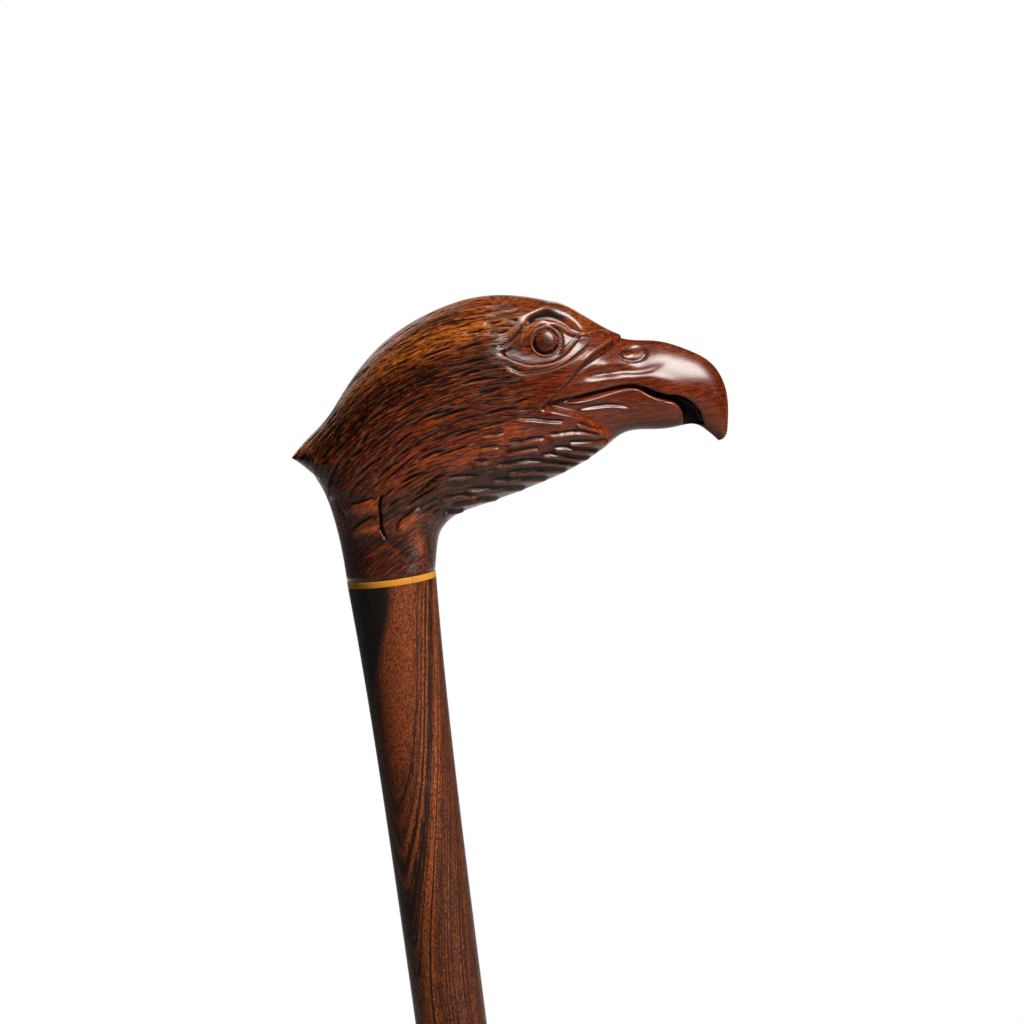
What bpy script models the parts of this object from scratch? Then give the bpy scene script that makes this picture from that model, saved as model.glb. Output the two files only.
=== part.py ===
"""Walking cane with a handle carved as an eagle's head, at full size.

Metres, +Z up the shaft, +X the way the beak points. The origin is the middle of the
rubber tip's sole, on the shaft's axis. The head is the same on both sides of Y = 0.
"""

import math

import bmesh
import bpy
import numpy as np

MM = 0.001
FIT = 0.3 * MM  # gap between two pieces that touch or are glued

# Rubber tip, pushed over the foot of the shaft
TIP_HEIGHT = 42 * MM
TIP_WALL = 3.2 * MM  # rubber round the socket, measured over the beads
TIP_SOLE_FLARE = 5.5 * MM  # how far the sole stands out past the beads
TIP_SOLE_CHAMFER = 2 * MM
TIP_SKIRT_HEIGHT = 8 * MM  # straight band above the sole
TIP_BODY_STEPS = 5  # rows of facets between skirt and beads
TIP_BEAD_HEIGHT = 3 * MM  # each of the raised beads round the mouth
TIP_BEAD_DEPTH = 0.8 * MM
TIP_BEAD_FLAT = (0.35, 0.75)  # shares of its height between which a bead is flat
TIP_BEADS = 3
TIP_LIP_CHAMFER = 0.6 * MM
TIP_SIDES = 32
SOLE_THICKNESS = 10 * MM
TREAD_DEPTH = 1.5 * MM
TREAD_PAD_RADIUS = 5 * MM  # flat pad in the middle of the sole
TREAD_GROOVE_WIDTH = 1.6 * MM
TREAD_GROOVES = 3

# Steel disc in the bottom of the tip's socket
WASHER_THICKNESS = 1.5 * MM
WASHER_CHAMFER = 0.3 * MM
WASHER_SIDES = 28

# Shaft: an even taper, with a flare that dies away below the ring
SHAFT_LENGTH = 825 * MM
SHAFT_FOOT_RADIUS = 9 * MM
SHAFT_FOOT_CHAMFER = 0.8 * MM
SHAFT_HEAD_RADIUS = 10.25 * MM  # of the even taper, at the top
FLARE_DECAY = 43 * MM
COLLAR_RADIUS = 12.7 * MM  # shaft, ring and handle all meet at this radius
SHAFT_ROWS = 22
SHAFT_ROW_GATHER = 2.2  # above 1, the rows lie closer together where the flare bends
SHAFT_SIDES = 32

# Ring of pale wood between shaft and handle
RING_THICKNESS = 1.8 * MM
RING_SIDES = 48

# Steel stud, threaded at both ends and glued into blind bores
STUD_RADIUS = 4 * MM
STUD_IN_SHAFT = 40 * MM  # reach below the top of the shaft
STUD_IN_HANDLE = 36 * MM  # reach above the seat of the handle
STUD_THREAD_LENGTH = 20 * MM
STUD_PITCH = 1.25 * MM
STUD_THREAD_DEPTH = 0.65 * MM
STUD_SIDES = 12
STUD_ROWS_PER_TURN = 3
BORE_END_GAP = 0.8 * MM  # left for glue past each end of the stud

# Heights, from the floor up
SOCKET_FLOOR = SOLE_THICKNESS
WASHER_BOTTOM = SOCKET_FLOOR + FIT
SHAFT_BOTTOM = WASHER_BOTTOM + WASHER_THICKNESS + FIT
SHAFT_TOP = SHAFT_BOTTOM + SHAFT_LENGTH
RING_BOTTOM = SHAFT_TOP + FIT
HANDLE_SEAT = RING_BOTTOM + RING_THICKNESS + FIT
SOCKET_RADIUS = SHAFT_FOOT_RADIUS + FIT
TIP_BEAD_RADIUS = SOCKET_RADIUS + TIP_WALL
TIP_SOLE_RADIUS = TIP_BEAD_RADIUS + TIP_SOLE_FLARE
STUD_BORE_RADIUS = STUD_RADIUS + FIT

# Handle. Its sections and its carved features are drawn in this unit, from the shaft's axis and
# the handle's seat. Each section, neck to beak: crown edge (x, z), throat edge (x, z), half width,
# height of the widest place (0 at the throat edge, 1 at the crown edge), roundness above and below
# that place (2 is an ellipse, more is boxier).
CARVING_UNIT = 1 * MM
NECK = COLLAR_RADIUS / CARVING_UNIT
SECTIONS = {
    "seat": ((-NECK, 0), (NECK, 0), NECK, 0.5, 2.0, 2.0),
    "neck": ((-NECK - 0.5, 12), (NECK + 1.9, 8.2), NECK + 0.2, 0.5, 2.0, 2.0),
    "throat_bend": ((-NECK - 2.1, 23.8), (NECK + 4.0, 11.8), NECK + 1.2, 0.5, 2.0, 2.0),
    "under_nape": ((-NECK - 3.7, 30.5), (NECK + 6.3, 13.7), NECK + 2.1, 0.5, 2.0, 2.0),
    "nape": ((-NECK - 4.9, 36.6), (NECK + 8.8, 14.9), NECK + 2.9, 0.5, 1.9, 2.0),
    "hackles": ((-13.9, 44.4), (25.5, 16.0), 17.0, 0.5, 2.0, 2.1),
    "back_head": ((-3.8, 56.4), (31, 17.1), 18.2, 0.5, 2.1, 2.1),
    "crown_rear": ((6.9, 65.9), (37, 18.4), 18.9, 0.5, 2.2, 2.1),
    "crown": ((21.2, 72.5), (44, 20.1), 19.0, 0.5, 2.4, 2.1),
    "crown_front": ((35.4, 75.0), (51.4, 22.2), 18.3, 0.5, 2.5, 2.1),
    "brow": ((48.6, 72.4), (58.6, 25.0), 16.9, 0.5, 2.6, 2.1),
    "lore": ((61.2, 66.7), (66.0, 28.6), 13.9, 0.48, 2.4, 2.1),
    "cere": ((74.2, 58.9), (73.3, 31.0), 10.4, 0.42, 2.1, 2.2),
    "beak": ((83.4, 57.0), (80, 30.4), 8.9, 0.45, 2.1, 2.2),
    "beak_bend": ((92.2, 53.2), (86, 30.4), 7.3, 0.45, 2.1, 2.2),
    "hook_top": ((98.7, 48.2), (90.6, 30.5), 5.6, 0.5, 2.1, 2.2),
    "hook": ((101.9, 40.3), (93.6, 28.4), 4.3, 0.55, 2.1, 2.2),
    "hook_low": ((101.7, 32.8), (95.4, 26.5), 3.2, 0.55, 2.0, 2.0),
    "tip": ((100.4, 25.9), (97.0, 24.5), 1.9, 0.5, 2.0, 2.0),
}
TUFT_REACH = 6.6  # the nape feathers gather in a point on the back of the neck
TUFT_SLOPE = 1.2  # above 1, its upper side is hollow
TUFT_UNDERCUT = 3.2  # how soon it dies away below
TUFT_SPREAD = 0.5  # half width round the section, in radians
HOOK_END_LENGTH = 1.6  # the last stretch, rounded off
AROUND = 60  # points round each section
ROWS = (("seat", "nape", 11), ("nape", "brow", 19), ("brow", "cere", 20), ("cere", "tip", 22))
ROUND_END_ROWS = 4

# Carved features, side view in the same unit, cut alike on both sides
FACE_START = 30  # behind this the head keeps its plain skin
FACE_BLEND = 10
EYE = (52.4, 61.3)
EYE_RADIUS = 3.4
EYE_STAND = 1.6  # how far the eyeball stands out of its ring
SOCKET_DEPTH = 1.9
SOCKET_HALF_LENGTH = 12.5
SOCKET_HALF_HEIGHT = 6.5
BROW_LINE = ((44.6, 65.1), (49.5, 69.1), (55.2, 69.5), (60.1, 66.5), (64.0, 63.2), (68.0, 62.1))
BROW_STAND = 1.3
BROW_HALF_WIDTH = 1.9
MOUTH_LINE = ((53.0, 43.3), (59.7, 43.6), (67.0, 44.3), (74.0, 45.0), (79.5, 42.0), (87.7, 38.3))
MOUTH_DEPTH = 1.5
MOUTH_HALF_WIDTH = 1.2
CERE_LINE = ((49.0, 43.0), (56.6, 49.2), (65.6, 54.9), (73.0, 58.7))
CERE_DEPTH = 0.9
STEP_SOFTNESS = 0.8  # half width of the step down from a fold's edge
JAW_FOLD = ((48.9, 42.6), (56.8, 39.4), (62.5, 35.7), (68.4, 32.6))
JAW_NARROWING = 0.14  # share of its half width that the lower jaw lies inside the upper beak
JAW_BLEND = 1.2  # half width of the slope that leads down to the jaw from its fold
NOSTRIL = (76.6, 54.0)
NOSTRIL_HALF_LENGTH = 2.6
NOSTRIL_HALF_HEIGHT = 1.5
NOSTRIL_DEPTH = 1.1
POCKET = (89.4, 34.6)  # the gap between the lower jaw's end and the hook
POCKET_HALF_WIDTH = 3.4
POCKET_HALF_HEIGHT = 4.8
POCKET_WEB = 1.6  # half thickness of the wood left in the middle of that gap

WOOD_COLOUR = (0.155, 0.033, 0.013)
SHAFT_COLOUR = (0.180, 0.050, 0.016)
RING_COLOUR = (0.690, 0.310, 0.045)
RUBBER_COLOUR = (0.015, 0.015, 0.016)
STEEL_COLOUR = (0.560, 0.570, 0.580)


def clear_scene():
    for item in list(bpy.data.objects):
        bpy.data.objects.remove(item, do_unlink=True)


def finish_material(name, colour, roughness, metallic=0.0):
    material = bpy.data.materials.new(name)
    material.use_nodes = True
    shader = material.node_tree.nodes["Principled BSDF"]
    shader.inputs["Base Color"].default_value = (*colour, 1)
    shader.inputs["Roughness"].default_value = roughness
    shader.inputs["Metallic"].default_value = metallic
    return material


def place(name, bm, material, parent, sharp_degrees=40):
    """Turns the bmesh into a smooth-shaded object under its parent, with its faces pointing out."""
    bmesh.ops.remove_doubles(bm, verts=bm.verts[:], dist=0.00001)
    bmesh.ops.recalc_face_normals(bm, faces=bm.faces[:])
    mesh = bpy.data.meshes.new(name)
    bm.to_mesh(mesh)
    bm.free()
    mesh.shade_smooth()
    mesh.set_sharp_from_angle(angle=math.radians(sharp_degrees))
    mesh.materials.append(material)
    piece = bpy.data.objects.new(name, mesh)
    bpy.context.scene.collection.objects.link(piece)
    piece.parent = parent
    return piece


def carrier(name):
    """An empty that stands for one rigid body of the cane."""
    empty = bpy.data.objects.new(name, None)
    empty.empty_display_size = COLLAR_RADIUS
    bpy.context.scene.collection.objects.link(empty)
    return empty


def turned(profile, sides):
    """A bmesh turned about Z from a closed profile of (radius, height) points."""
    bm = bmesh.new()
    corners = [bm.verts.new((radius, 0, height)) for radius, height in profile]
    edges = [bm.edges.new((a, b)) for a, b in zip(corners, corners[1:] + corners[:1])]
    bmesh.ops.spin(
        bm, geom=corners + edges, cent=(0, 0, 0), axis=(0, 0, 1), angle=2 * math.pi, steps=sides
    )
    bmesh.ops.remove_doubles(bm, verts=bm.verts[:], dist=0.00001)
    on_axis = [edge for edge in bm.edges if all(v.co.xy.length < 1e-6 for v in edge.verts)]
    bmesh.ops.delete(bm, geom=on_axis, context="EDGES")
    return bm


def lofted(rings):
    """A bmesh skinned over rings of equally many points, closed by a fan at both ends."""
    bm = bmesh.new()
    loops = [[bm.verts.new(point) for point in ring] for ring in rings]
    count = len(loops[0])
    for low, high in zip(loops, loops[1:]):
        for i in range(count):
            j = (i + 1) % count
            bm.faces.new((low[i], low[j], high[j], high[i]))
    for loop in (loops[0], loops[-1]):
        middle = bm.verts.new(sum((v.co for v in loop), start=loop[0].co * 0) / count)
        for i in range(count):
            bm.faces.new((loop[i], loop[(i + 1) % count], middle))
    return bm


# Rubber tip

def tip_profile():
    """Sole with ring-shaped grooves, straight skirt, drawn-in body, beads and the socket."""
    points = [(0, 0), (TREAD_PAD_RADIUS, 0)]
    rim = TIP_SOLE_RADIUS - TIP_SOLE_CHAMFER
    waist = TIP_BEAD_RADIUS - TIP_BEAD_DEPTH
    pitch = (rim - TREAD_PAD_RADIUS) / TREAD_GROOVES
    for groove in range(TREAD_GROOVES):
        inner = TREAD_PAD_RADIUS + groove * pitch
        outer = inner + TREAD_GROOVE_WIDTH
        points += [(inner, TREAD_DEPTH), (outer, TREAD_DEPTH), (outer, 0)]
        if groove < TREAD_GROOVES - 1:
            points.append((inner + pitch, 0))
    points += [(rim, 0), (TIP_SOLE_RADIUS, TIP_SOLE_CHAMFER), (TIP_SOLE_RADIUS, TIP_SKIRT_HEIGHT)]
    beads_bottom = TIP_HEIGHT - TIP_BEADS * TIP_BEAD_HEIGHT
    for step in range(1, TIP_BODY_STEPS):
        share = step / TIP_BODY_STEPS
        ease = math.sin(share * math.pi / 2)
        height = TIP_SKIRT_HEIGHT + share * (beads_bottom - TIP_SKIRT_HEIGHT)
        points.append((TIP_SOLE_RADIUS + ease * (waist - TIP_SOLE_RADIUS), height))
    for bead in range(TIP_BEADS):
        base = beads_bottom + bead * TIP_BEAD_HEIGHT
        points.append((waist, base))
        points += [(TIP_BEAD_RADIUS, base + share * TIP_BEAD_HEIGHT) for share in TIP_BEAD_FLAT]
    points += [(waist, TIP_HEIGHT), (SOCKET_RADIUS + TIP_LIP_CHAMFER, TIP_HEIGHT)]
    points += [(SOCKET_RADIUS, TIP_HEIGHT - TIP_LIP_CHAMFER), (SOCKET_RADIUS, SOCKET_FLOOR)]
    points.append((0, SOCKET_FLOOR))
    return points


def make_rubber_tip(parent):
    rubber = finish_material("rubber", RUBBER_COLOUR, 0.75)
    return place("rubber_tip", turned(tip_profile(), TIP_SIDES), rubber, parent)


def make_tip_washer(parent):
    radius = SOCKET_RADIUS - FIT
    bottom, top, edge = WASHER_BOTTOM, WASHER_BOTTOM + WASHER_THICKNESS, WASHER_CHAMFER
    profile = [(0, bottom), (radius - edge, bottom), (radius, bottom + edge)]
    profile += [(radius, top - edge), (radius - edge, top), (0, top)]
    steel = finish_material("zinc_plated_steel", STEEL_COLOUR, 0.35, 1.0)
    return place("tip_washer", turned(profile, WASHER_SIDES), steel, parent)


# Shaft and ring

def shaft_radius(below):
    """Radius at a distance below the shaft's top: an even taper plus a flare that dies away."""
    taper = (SHAFT_HEAD_RADIUS - SHAFT_FOOT_RADIUS) * below / SHAFT_LENGTH
    flare = (COLLAR_RADIUS - SHAFT_HEAD_RADIUS) * math.exp(-below / FLARE_DECAY)
    return SHAFT_HEAD_RADIUS - taper + flare


def make_shaft(parent):
    profile = [(0, SHAFT_BOTTOM), (SHAFT_FOOT_RADIUS - SHAFT_FOOT_CHAMFER, SHAFT_BOTTOM)]
    for row in range(SHAFT_ROWS + 1):
        share = (1 - row / SHAFT_ROWS) ** SHAFT_ROW_GATHER
        below = (SHAFT_LENGTH - SHAFT_FOOT_CHAMFER) * share
        profile.append((shaft_radius(below), SHAFT_TOP - below))
    bore_floor = SHAFT_TOP - STUD_IN_SHAFT - BORE_END_GAP
    profile += [(STUD_BORE_RADIUS, SHAFT_TOP), (STUD_BORE_RADIUS, bore_floor), (0, bore_floor)]
    wood = finish_material("shaft_hardwood", SHAFT_COLOUR, 0.3)
    return place("shaft", turned(profile, SHAFT_SIDES), wood, parent)


def make_spacer_ring(parent):
    bottom, top = RING_BOTTOM, RING_BOTTOM + RING_THICKNESS
    profile = [(STUD_BORE_RADIUS, bottom), (COLLAR_RADIUS, bottom)]
    profile += [(COLLAR_RADIUS, top), (STUD_BORE_RADIUS, top)]
    boxwood = finish_material("ring_boxwood", RING_COLOUR, 0.3)
    return place("spacer_ring", turned(profile, RING_SIDES), boxwood, parent)


# Joining stud

def thread_rows(bottom, top, taper_at_bottom):
    """Heights of the rows along one threaded end and how deep the thread is cut at each."""
    rows = round((top - bottom) / STUD_PITCH * STUD_ROWS_PER_TURN)
    heights = np.linspace(bottom, top, rows + 1)
    from_end = (heights - bottom) if taper_at_bottom else (top - heights)
    from_shank = (top - bottom) - from_end
    fade = np.clip(from_shank / STUD_PITCH, 0, 1)
    lead = np.clip(1 - from_end / STUD_PITCH, 0, 1) * STUD_THREAD_DEPTH
    return heights, fade, lead


def make_joining_stud(parent):
    """Each threaded end is a grid whose radius follows a wave wound round the stud."""
    bottom, top = SHAFT_TOP - STUD_IN_SHAFT, HANDLE_SEAT + STUD_IN_HANDLE
    turn = np.arange(STUD_SIDES) / STUD_SIDES
    low = thread_rows(bottom, bottom + STUD_THREAD_LENGTH, True)
    high = thread_rows(top - STUD_THREAD_LENGTH, top, False)
    rings = []
    for heights, fade, lead in (low, high):
        for height, share, narrowing in zip(heights, fade, lead):
            wave = 0.5 - 0.5 * np.cos(2 * math.pi * (height / STUD_PITCH - turn))
            radius = STUD_RADIUS - narrowing - STUD_THREAD_DEPTH * wave * share
            angle = 2 * math.pi * turn
            ring = np.stack([radius * np.cos(angle), radius * np.sin(angle)], axis=1)
            rings.append([(x, y, height) for x, y in ring])
    steel = finish_material("stud_steel", STEEL_COLOUR, 0.4, 1.0)
    return place("joining_stud", lofted(rings), steel, parent, 60)


# Eagle handle

def natural_spline(knots, values, at):
    """The natural cubic spline through the values at the knots, read at the given places."""
    knots, values, at = (np.asarray(a, float) for a in (knots, values, at))
    step = np.diff(knots)
    slope = np.diff(values, axis=0) / step[:, None]
    count = len(knots)
    system, right = np.eye(count), np.zeros_like(values)
    for i in range(1, count - 1):
        system[i, i - 1 : i + 2] = step[i - 1], 2 * (step[i - 1] + step[i]), step[i]
        right[i] = 6 * (slope[i] - slope[i - 1])
    bend = np.linalg.solve(system, right)
    k = np.clip(np.searchsorted(knots, at, side="right") - 1, 0, count - 2)
    h, left, rest = step[k][:, None], (at - knots[k])[:, None], (knots[k + 1] - at)[:, None]
    curve = (bend[k] * rest**3 + bend[k + 1] * left**3) / (6 * h)
    line = (values[k] / h - bend[k] * h / 6) * rest + (values[k + 1] / h - bend[k + 1] * h / 6) * left
    return curve + line


def section_places():
    """How far along the handle each section lies: the mean of the two edges' lengths."""
    edges = np.array([[*section[0], *section[1]] for section in SECTIONS.values()], float)
    moved = np.diff(edges, axis=0)
    length = (np.hypot(moved[:, 0], moved[:, 1]) + np.hypot(moved[:, 2], moved[:, 3])) / 2
    return np.concatenate([[0], np.cumsum(length)])


def head_grid(places, around):
    """Points of the uncarved head, in carving units: one row per place, one column per angle.

    A row is a flat section between its crown and throat edges, across Y = 0. Above and below
    its widest place it is a quarter of a superellipse. The last stretch is rounded off.
    """
    knots = section_places()
    rows = list(SECTIONS.values())
    crown = natural_spline(knots, [row[0] for row in rows], places)
    throat = natural_spline(knots, [row[1] for row in rows], places)
    shape = natural_spline(knots, [row[2:] for row in rows], places)
    width, widest, above, below = (shape[:, i : i + 1] for i in range(4))
    left = np.clip((knots[-1] - places) / HOOK_END_LENGTH, 0, 1)
    rounding = np.sqrt(1 - (1 - left) ** 2)[:, None]
    middle = throat + (crown - throat) * widest
    cosine, sine = np.cos(around)[None], np.abs(np.sin(around))[None]
    power = 2 / np.where(cosine > 0, above, below)
    reach = np.abs(cosine) ** power * rounding
    edge = np.where((cosine > 0)[..., None], (crown - middle)[:, None], (throat - middle)[:, None])
    end = middle[:, None] + (crown + throat - 2 * middle)[:, None] / 2 * (1 - rounding[..., None])
    flat = end + edge * reach[..., None]
    side = np.where(np.sin(around) < 0, -1.0, 1.0)[None] * width * sine**power * rounding
    names = list(SECTIONS)
    nape, hackles = knots[names.index("nape")], knots[names.index("hackles")]
    above_nape = np.clip(1 - (places - nape) / (hackles - nape), 0, 1) ** TUFT_SLOPE
    tuft = np.where(places > nape, above_nape, np.exp(-np.maximum(nape - places, 0) / TUFT_UNDERCUT))
    turn = (around[None] + math.pi) % (2 * math.pi) - math.pi
    back = TUFT_REACH * tuft[:, None] * np.exp(-((turn / TUFT_SPREAD) ** 2))
    return np.stack([flat[..., 0] - back, side, flat[..., 1]], axis=-1)


def drawn(points, steps=8):
    """A smooth open line through a few side-view points."""
    points = np.array(points, float)
    length = np.concatenate([[0], np.cumsum(np.hypot(*np.diff(points, axis=0).T))])
    return natural_spline(length, points, np.linspace(0, length[-1], steps * (len(points) - 1) + 1))


def from_line(line, x, z):
    """Distance of each place to the line, and the same distance with a sign, plus on its left."""
    start, step = line[:-1], np.diff(line, axis=0)
    across_x, across_z = x[..., None] - start[:, 0], z[..., None] - start[:, 1]
    along = (across_x * step[:, 0] + across_z * step[:, 1]) / (step**2).sum(axis=1)
    along = np.clip(along, 0, 1)
    distance = np.hypot(across_x - along * step[:, 0], across_z - along * step[:, 1])
    nearest = distance.argmin(axis=-1)[..., None]
    side = step[:, 0] * across_z - step[:, 1] * across_x
    closest = np.take_along_axis(distance, nearest, -1)[..., 0]
    return closest, closest * np.sign(np.take_along_axis(side, nearest, -1)[..., 0])


def hump(distance, half_width):
    """1 on the line, falling smoothly to 0 past its half width."""
    return np.exp(-((distance / half_width) ** 2))


def soft_step(value, half_width):
    """0 well below zero, 1 well above it."""
    return 0.5 + 0.5 * np.tanh(value / half_width)


def relief(x, z):
    """How far the carving stands out of the uncarved head, in carving units."""
    lengthwise = (x - EYE[0]) / SOCKET_HALF_LENGTH
    socket = np.exp(-(lengthwise**2 + ((z - EYE[1]) / SOCKET_HALF_HEIGHT) ** 2) ** 2)
    from_eye = np.hypot(x - EYE[0], z - EYE[1])
    ball = np.sqrt(np.clip(1 - (from_eye / EYE_RADIUS) ** 2, 0, 1)) * EYE_STAND
    brow = hump(from_line(drawn(BROW_LINE), x, z)[0], BROW_HALF_WIDTH) * BROW_STAND
    mouth = hump(from_line(drawn(MOUTH_LINE), x, z)[0], MOUTH_HALF_WIDTH) * MOUTH_DEPTH
    horn = soft_step(-from_line(drawn(CERE_LINE), x, z)[1], STEP_SOFTNESS)
    fold = soft_step(from_line(drawn(JAW_FOLD), x, z)[1], STEP_SOFTNESS)
    ahead, above = (x - NOSTRIL[0]) / NOSTRIL_HALF_LENGTH, (z - NOSTRIL[1]) / NOSTRIL_HALF_HEIGHT
    nostril = hump(np.hypot(ahead, above), 1) * NOSTRIL_DEPTH
    return brow + ball - SOCKET_DEPTH * socket - mouth - CERE_DEPTH * horn * fold - nostril


def narrowing(x, z):
    """Shares by which the half width shrinks: the lower jaw, and the gap in front of it."""
    below_mouth = soft_step(-from_line(drawn(MOUTH_LINE), x, z)[1], STEP_SOFTNESS)
    ahead_of_fold = soft_step(from_line(drawn(JAW_FOLD), x, z)[1], JAW_BLEND)
    jaw = JAW_NARROWING * below_mouth * ahead_of_fold
    ahead, above = (x - POCKET[0]) / POCKET_HALF_WIDTH, (z - POCKET[1]) / POCKET_HALF_HEIGHT
    gap = np.exp(-(np.hypot(ahead, above) ** 4))
    return jaw, gap


def carved_head(places, around):
    """The head grid with its relief pushed out along the surface's own normals."""
    grid = head_grid(places, around)
    along = np.gradient(grid, axis=0)
    wrapped = np.concatenate([grid[:, -1:], grid, grid[:, :1]], axis=1)
    across = (wrapped[:, 2:] - wrapped[:, :-2]) / 2
    normal = np.cross(across, along)
    length = np.linalg.norm(normal, axis=-1, keepdims=True)
    normal = np.where(length > 1e-9, normal / np.maximum(length, 1e-9), 0)
    outward = np.sign((normal[..., 1] * grid[..., 1]).sum())
    x, z = grid[..., 0], grid[..., 2]
    faded = np.clip((x - FACE_START) / FACE_BLEND, 0, 1)[..., None]
    carved = grid + outward * normal * relief(x, z)[..., None] * faded
    jaw, gap = narrowing(x, z)
    side = carved[..., 1] * (1 - jaw)
    thin = np.clip(side, -POCKET_WEB, POCKET_WEB)
    carved[..., 1] = side + (thin - side) * gap
    return carved


def make_eagle_handle(parent):
    names = list(SECTIONS)
    knots = section_places()
    runs = []
    for first, last, rows in ROWS:
        start, stop = knots[names.index(first)], knots[names.index(last)]
        if last == "tip":
            stop -= HOOK_END_LENGTH
        runs.append(np.linspace(start, stop, rows, endpoint=False))
    ending = np.linspace(0, math.pi / 2, ROUND_END_ROWS, endpoint=False)
    runs.append(knots[-1] - HOOK_END_LENGTH + HOOK_END_LENGTH * np.sin(ending))
    around = 2 * math.pi * np.arange(AROUND) / AROUND
    grid = carved_head(np.concatenate(runs), around) * CARVING_UNIT
    grid[..., 2] += HANDLE_SEAT
    start = math.pi + around
    bore = np.stack([np.cos(start), np.sin(start)], axis=1) * STUD_BORE_RADIUS * [1, -1]
    bore_top = HANDLE_SEAT + STUD_IN_HANDLE + BORE_END_GAP
    mouth = [(x, y, HANDLE_SEAT) for x, y in bore]
    blind_end = [(x, y, bore_top) for x, y in bore]
    rings = [blind_end, mouth] + [[tuple(point) for point in ring] for ring in grid]
    wood = finish_material("carved_hardwood", WOOD_COLOUR, 0.32)
    return place("eagle_handle", lofted(rings), wood, parent, 70)


clear_scene()
foot = carrier("foot_carrier")
cane = carrier("cane_carrier")
make_rubber_tip(foot)
make_tip_washer(foot)
make_shaft(cane)
make_spacer_ring(cane)
make_joining_stud(cane)
make_eagle_handle(cane)
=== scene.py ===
"""Walking cane with a carved eagle-head handle: the finished surface of each piece.

Metres, +Z up the shaft, +X the way the beak points, as in the frame. The pieces come in the
order in which the cane is put together, from the rubber tip up to the handle.
"""

import math

import bpy
import numpy as np
from mathutils import Matrix, Vector


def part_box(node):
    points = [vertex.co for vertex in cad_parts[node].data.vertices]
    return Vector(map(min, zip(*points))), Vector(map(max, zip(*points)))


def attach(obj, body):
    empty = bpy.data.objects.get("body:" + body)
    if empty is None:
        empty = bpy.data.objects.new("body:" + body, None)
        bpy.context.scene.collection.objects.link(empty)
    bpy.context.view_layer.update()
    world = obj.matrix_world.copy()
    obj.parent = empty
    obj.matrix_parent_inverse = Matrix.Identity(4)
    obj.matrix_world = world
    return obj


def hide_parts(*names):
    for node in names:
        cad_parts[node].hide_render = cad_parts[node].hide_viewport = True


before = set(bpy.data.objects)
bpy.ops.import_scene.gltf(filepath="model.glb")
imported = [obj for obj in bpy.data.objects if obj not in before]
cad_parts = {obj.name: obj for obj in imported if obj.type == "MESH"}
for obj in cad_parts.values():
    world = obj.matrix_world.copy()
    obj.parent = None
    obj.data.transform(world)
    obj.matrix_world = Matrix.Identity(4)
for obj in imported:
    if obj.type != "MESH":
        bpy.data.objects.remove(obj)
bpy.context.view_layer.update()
MM = 0.001


# Rubber tip
# The ferrule that the cane stands on: black natural rubber, moulded in one, with three tread
# grooves in its sole and three raised beads round its mouth. It is pushed over the shaft's foot.

TIP_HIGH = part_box("rubber_tip")[1]
WASHER_LOW, WASHER_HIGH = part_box("tip_washer")
TIP_WALL = 3.2 * MM
TIP_BEAD_HEIGHT = 3 * MM
TIP_BEAD_DEPTH = 0.8 * MM
TIP_BEADS = 3
TIP_SKIRT_HEIGHT = 8 * MM
TIP_SOLE_FILLET = 2 * MM
TIP_LIP_FILLET = 0.5 * MM
TIP_PUSH_GAP = 0.1 * MM  # between the socket's wall and the shaft
TREAD_PAD_RADIUS = 5 * MM
TREAD_GROOVE_WIDTH = 1.6 * MM
TREAD_DEPTH = 1.5 * MM
TREAD_GROOVES = 3
TREAD_EDGE = 0.2 * MM  # the bevel on each side of a groove
PART_GAP = 0.3 * MM  # what the frame leaves open between two pieces that touch
TIP_SIDES = 144
MOTTLES, SKIN_GRAIN = 90, 2500  # to the metre: 11 mm and 0.4 mm across


def arc(centre, radius, start, stop, steps):
    """Points of a circle's arc in the (radius, height) plane, between two angles in degrees."""
    angle = np.radians(np.linspace(start, stop, steps))
    return [(centre[0] + radius * math.cos(a), centre[1] + radius * math.sin(a)) for a in angle]


def turned(profile, sides):
    """Points and faces of a profile of (radius, height) points turned about the shaft's axis.

    Point (i, j) is (r_i cos t_j, r_i sin t_j, h_i) with t_j = 2 pi j / sides. A profile that
    starts and ends on the axis closes there with fans, and any other closes on itself.
    """
    profile = np.array(profile, float)
    on_axis = profile[0, 0] == 0 and profile[-1, 0] == 0
    rings = profile[1:-1] if on_axis else profile
    turn = 2 * math.pi * np.arange(sides) / sides
    across = np.stack([np.cos(turn), np.sin(turn)], axis=1)
    points = np.concatenate(
        [rings[:, None, :1] * across[None], np.repeat(rings[:, None, 1:], sides, axis=1)], axis=2
    )
    return closed_rows(points, poles=profile[[0, -1], 1] if on_axis else None)


def quads(lower, upper):
    """Quads between rows of point numbers that go round: j and j + 1 below, j + 1 and j above."""
    corners = [lower, np.roll(lower, -1, 1), np.roll(upper, -1, 1), upper]
    return np.stack(corners, axis=-1).reshape(-1, 4).tolist()


def triangles(a, b, c):
    """Triangles between the point numbers of three rows, one of which may be a single pole."""
    return np.stack(np.broadcast_arrays(a, b, c), axis=-1).tolist()


def closed_rows(points, poles=None):
    """Points and faces of rows that each go round, with a fan to a pole on the axis at each end.

    Without poles the last row joins the first instead.
    """
    rows, columns = points.shape[:2]
    index = np.arange(rows * columns).reshape(rows, columns)
    points = points.reshape(-1, 3)
    if poles is None:
        return points, quads(index, np.roll(index, -1, 0))
    first, last = len(points), len(points) + 1
    points = np.concatenate([points, [(0, 0, poles[0]), (0, 0, poles[1])]])
    bottom, top = index[0], index[-1]
    faces = quads(index[:-1], index[1:]) + triangles(np.roll(bottom, -1), bottom, first)
    return points, faces + triangles(top, np.roll(top, -1), last)


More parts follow.
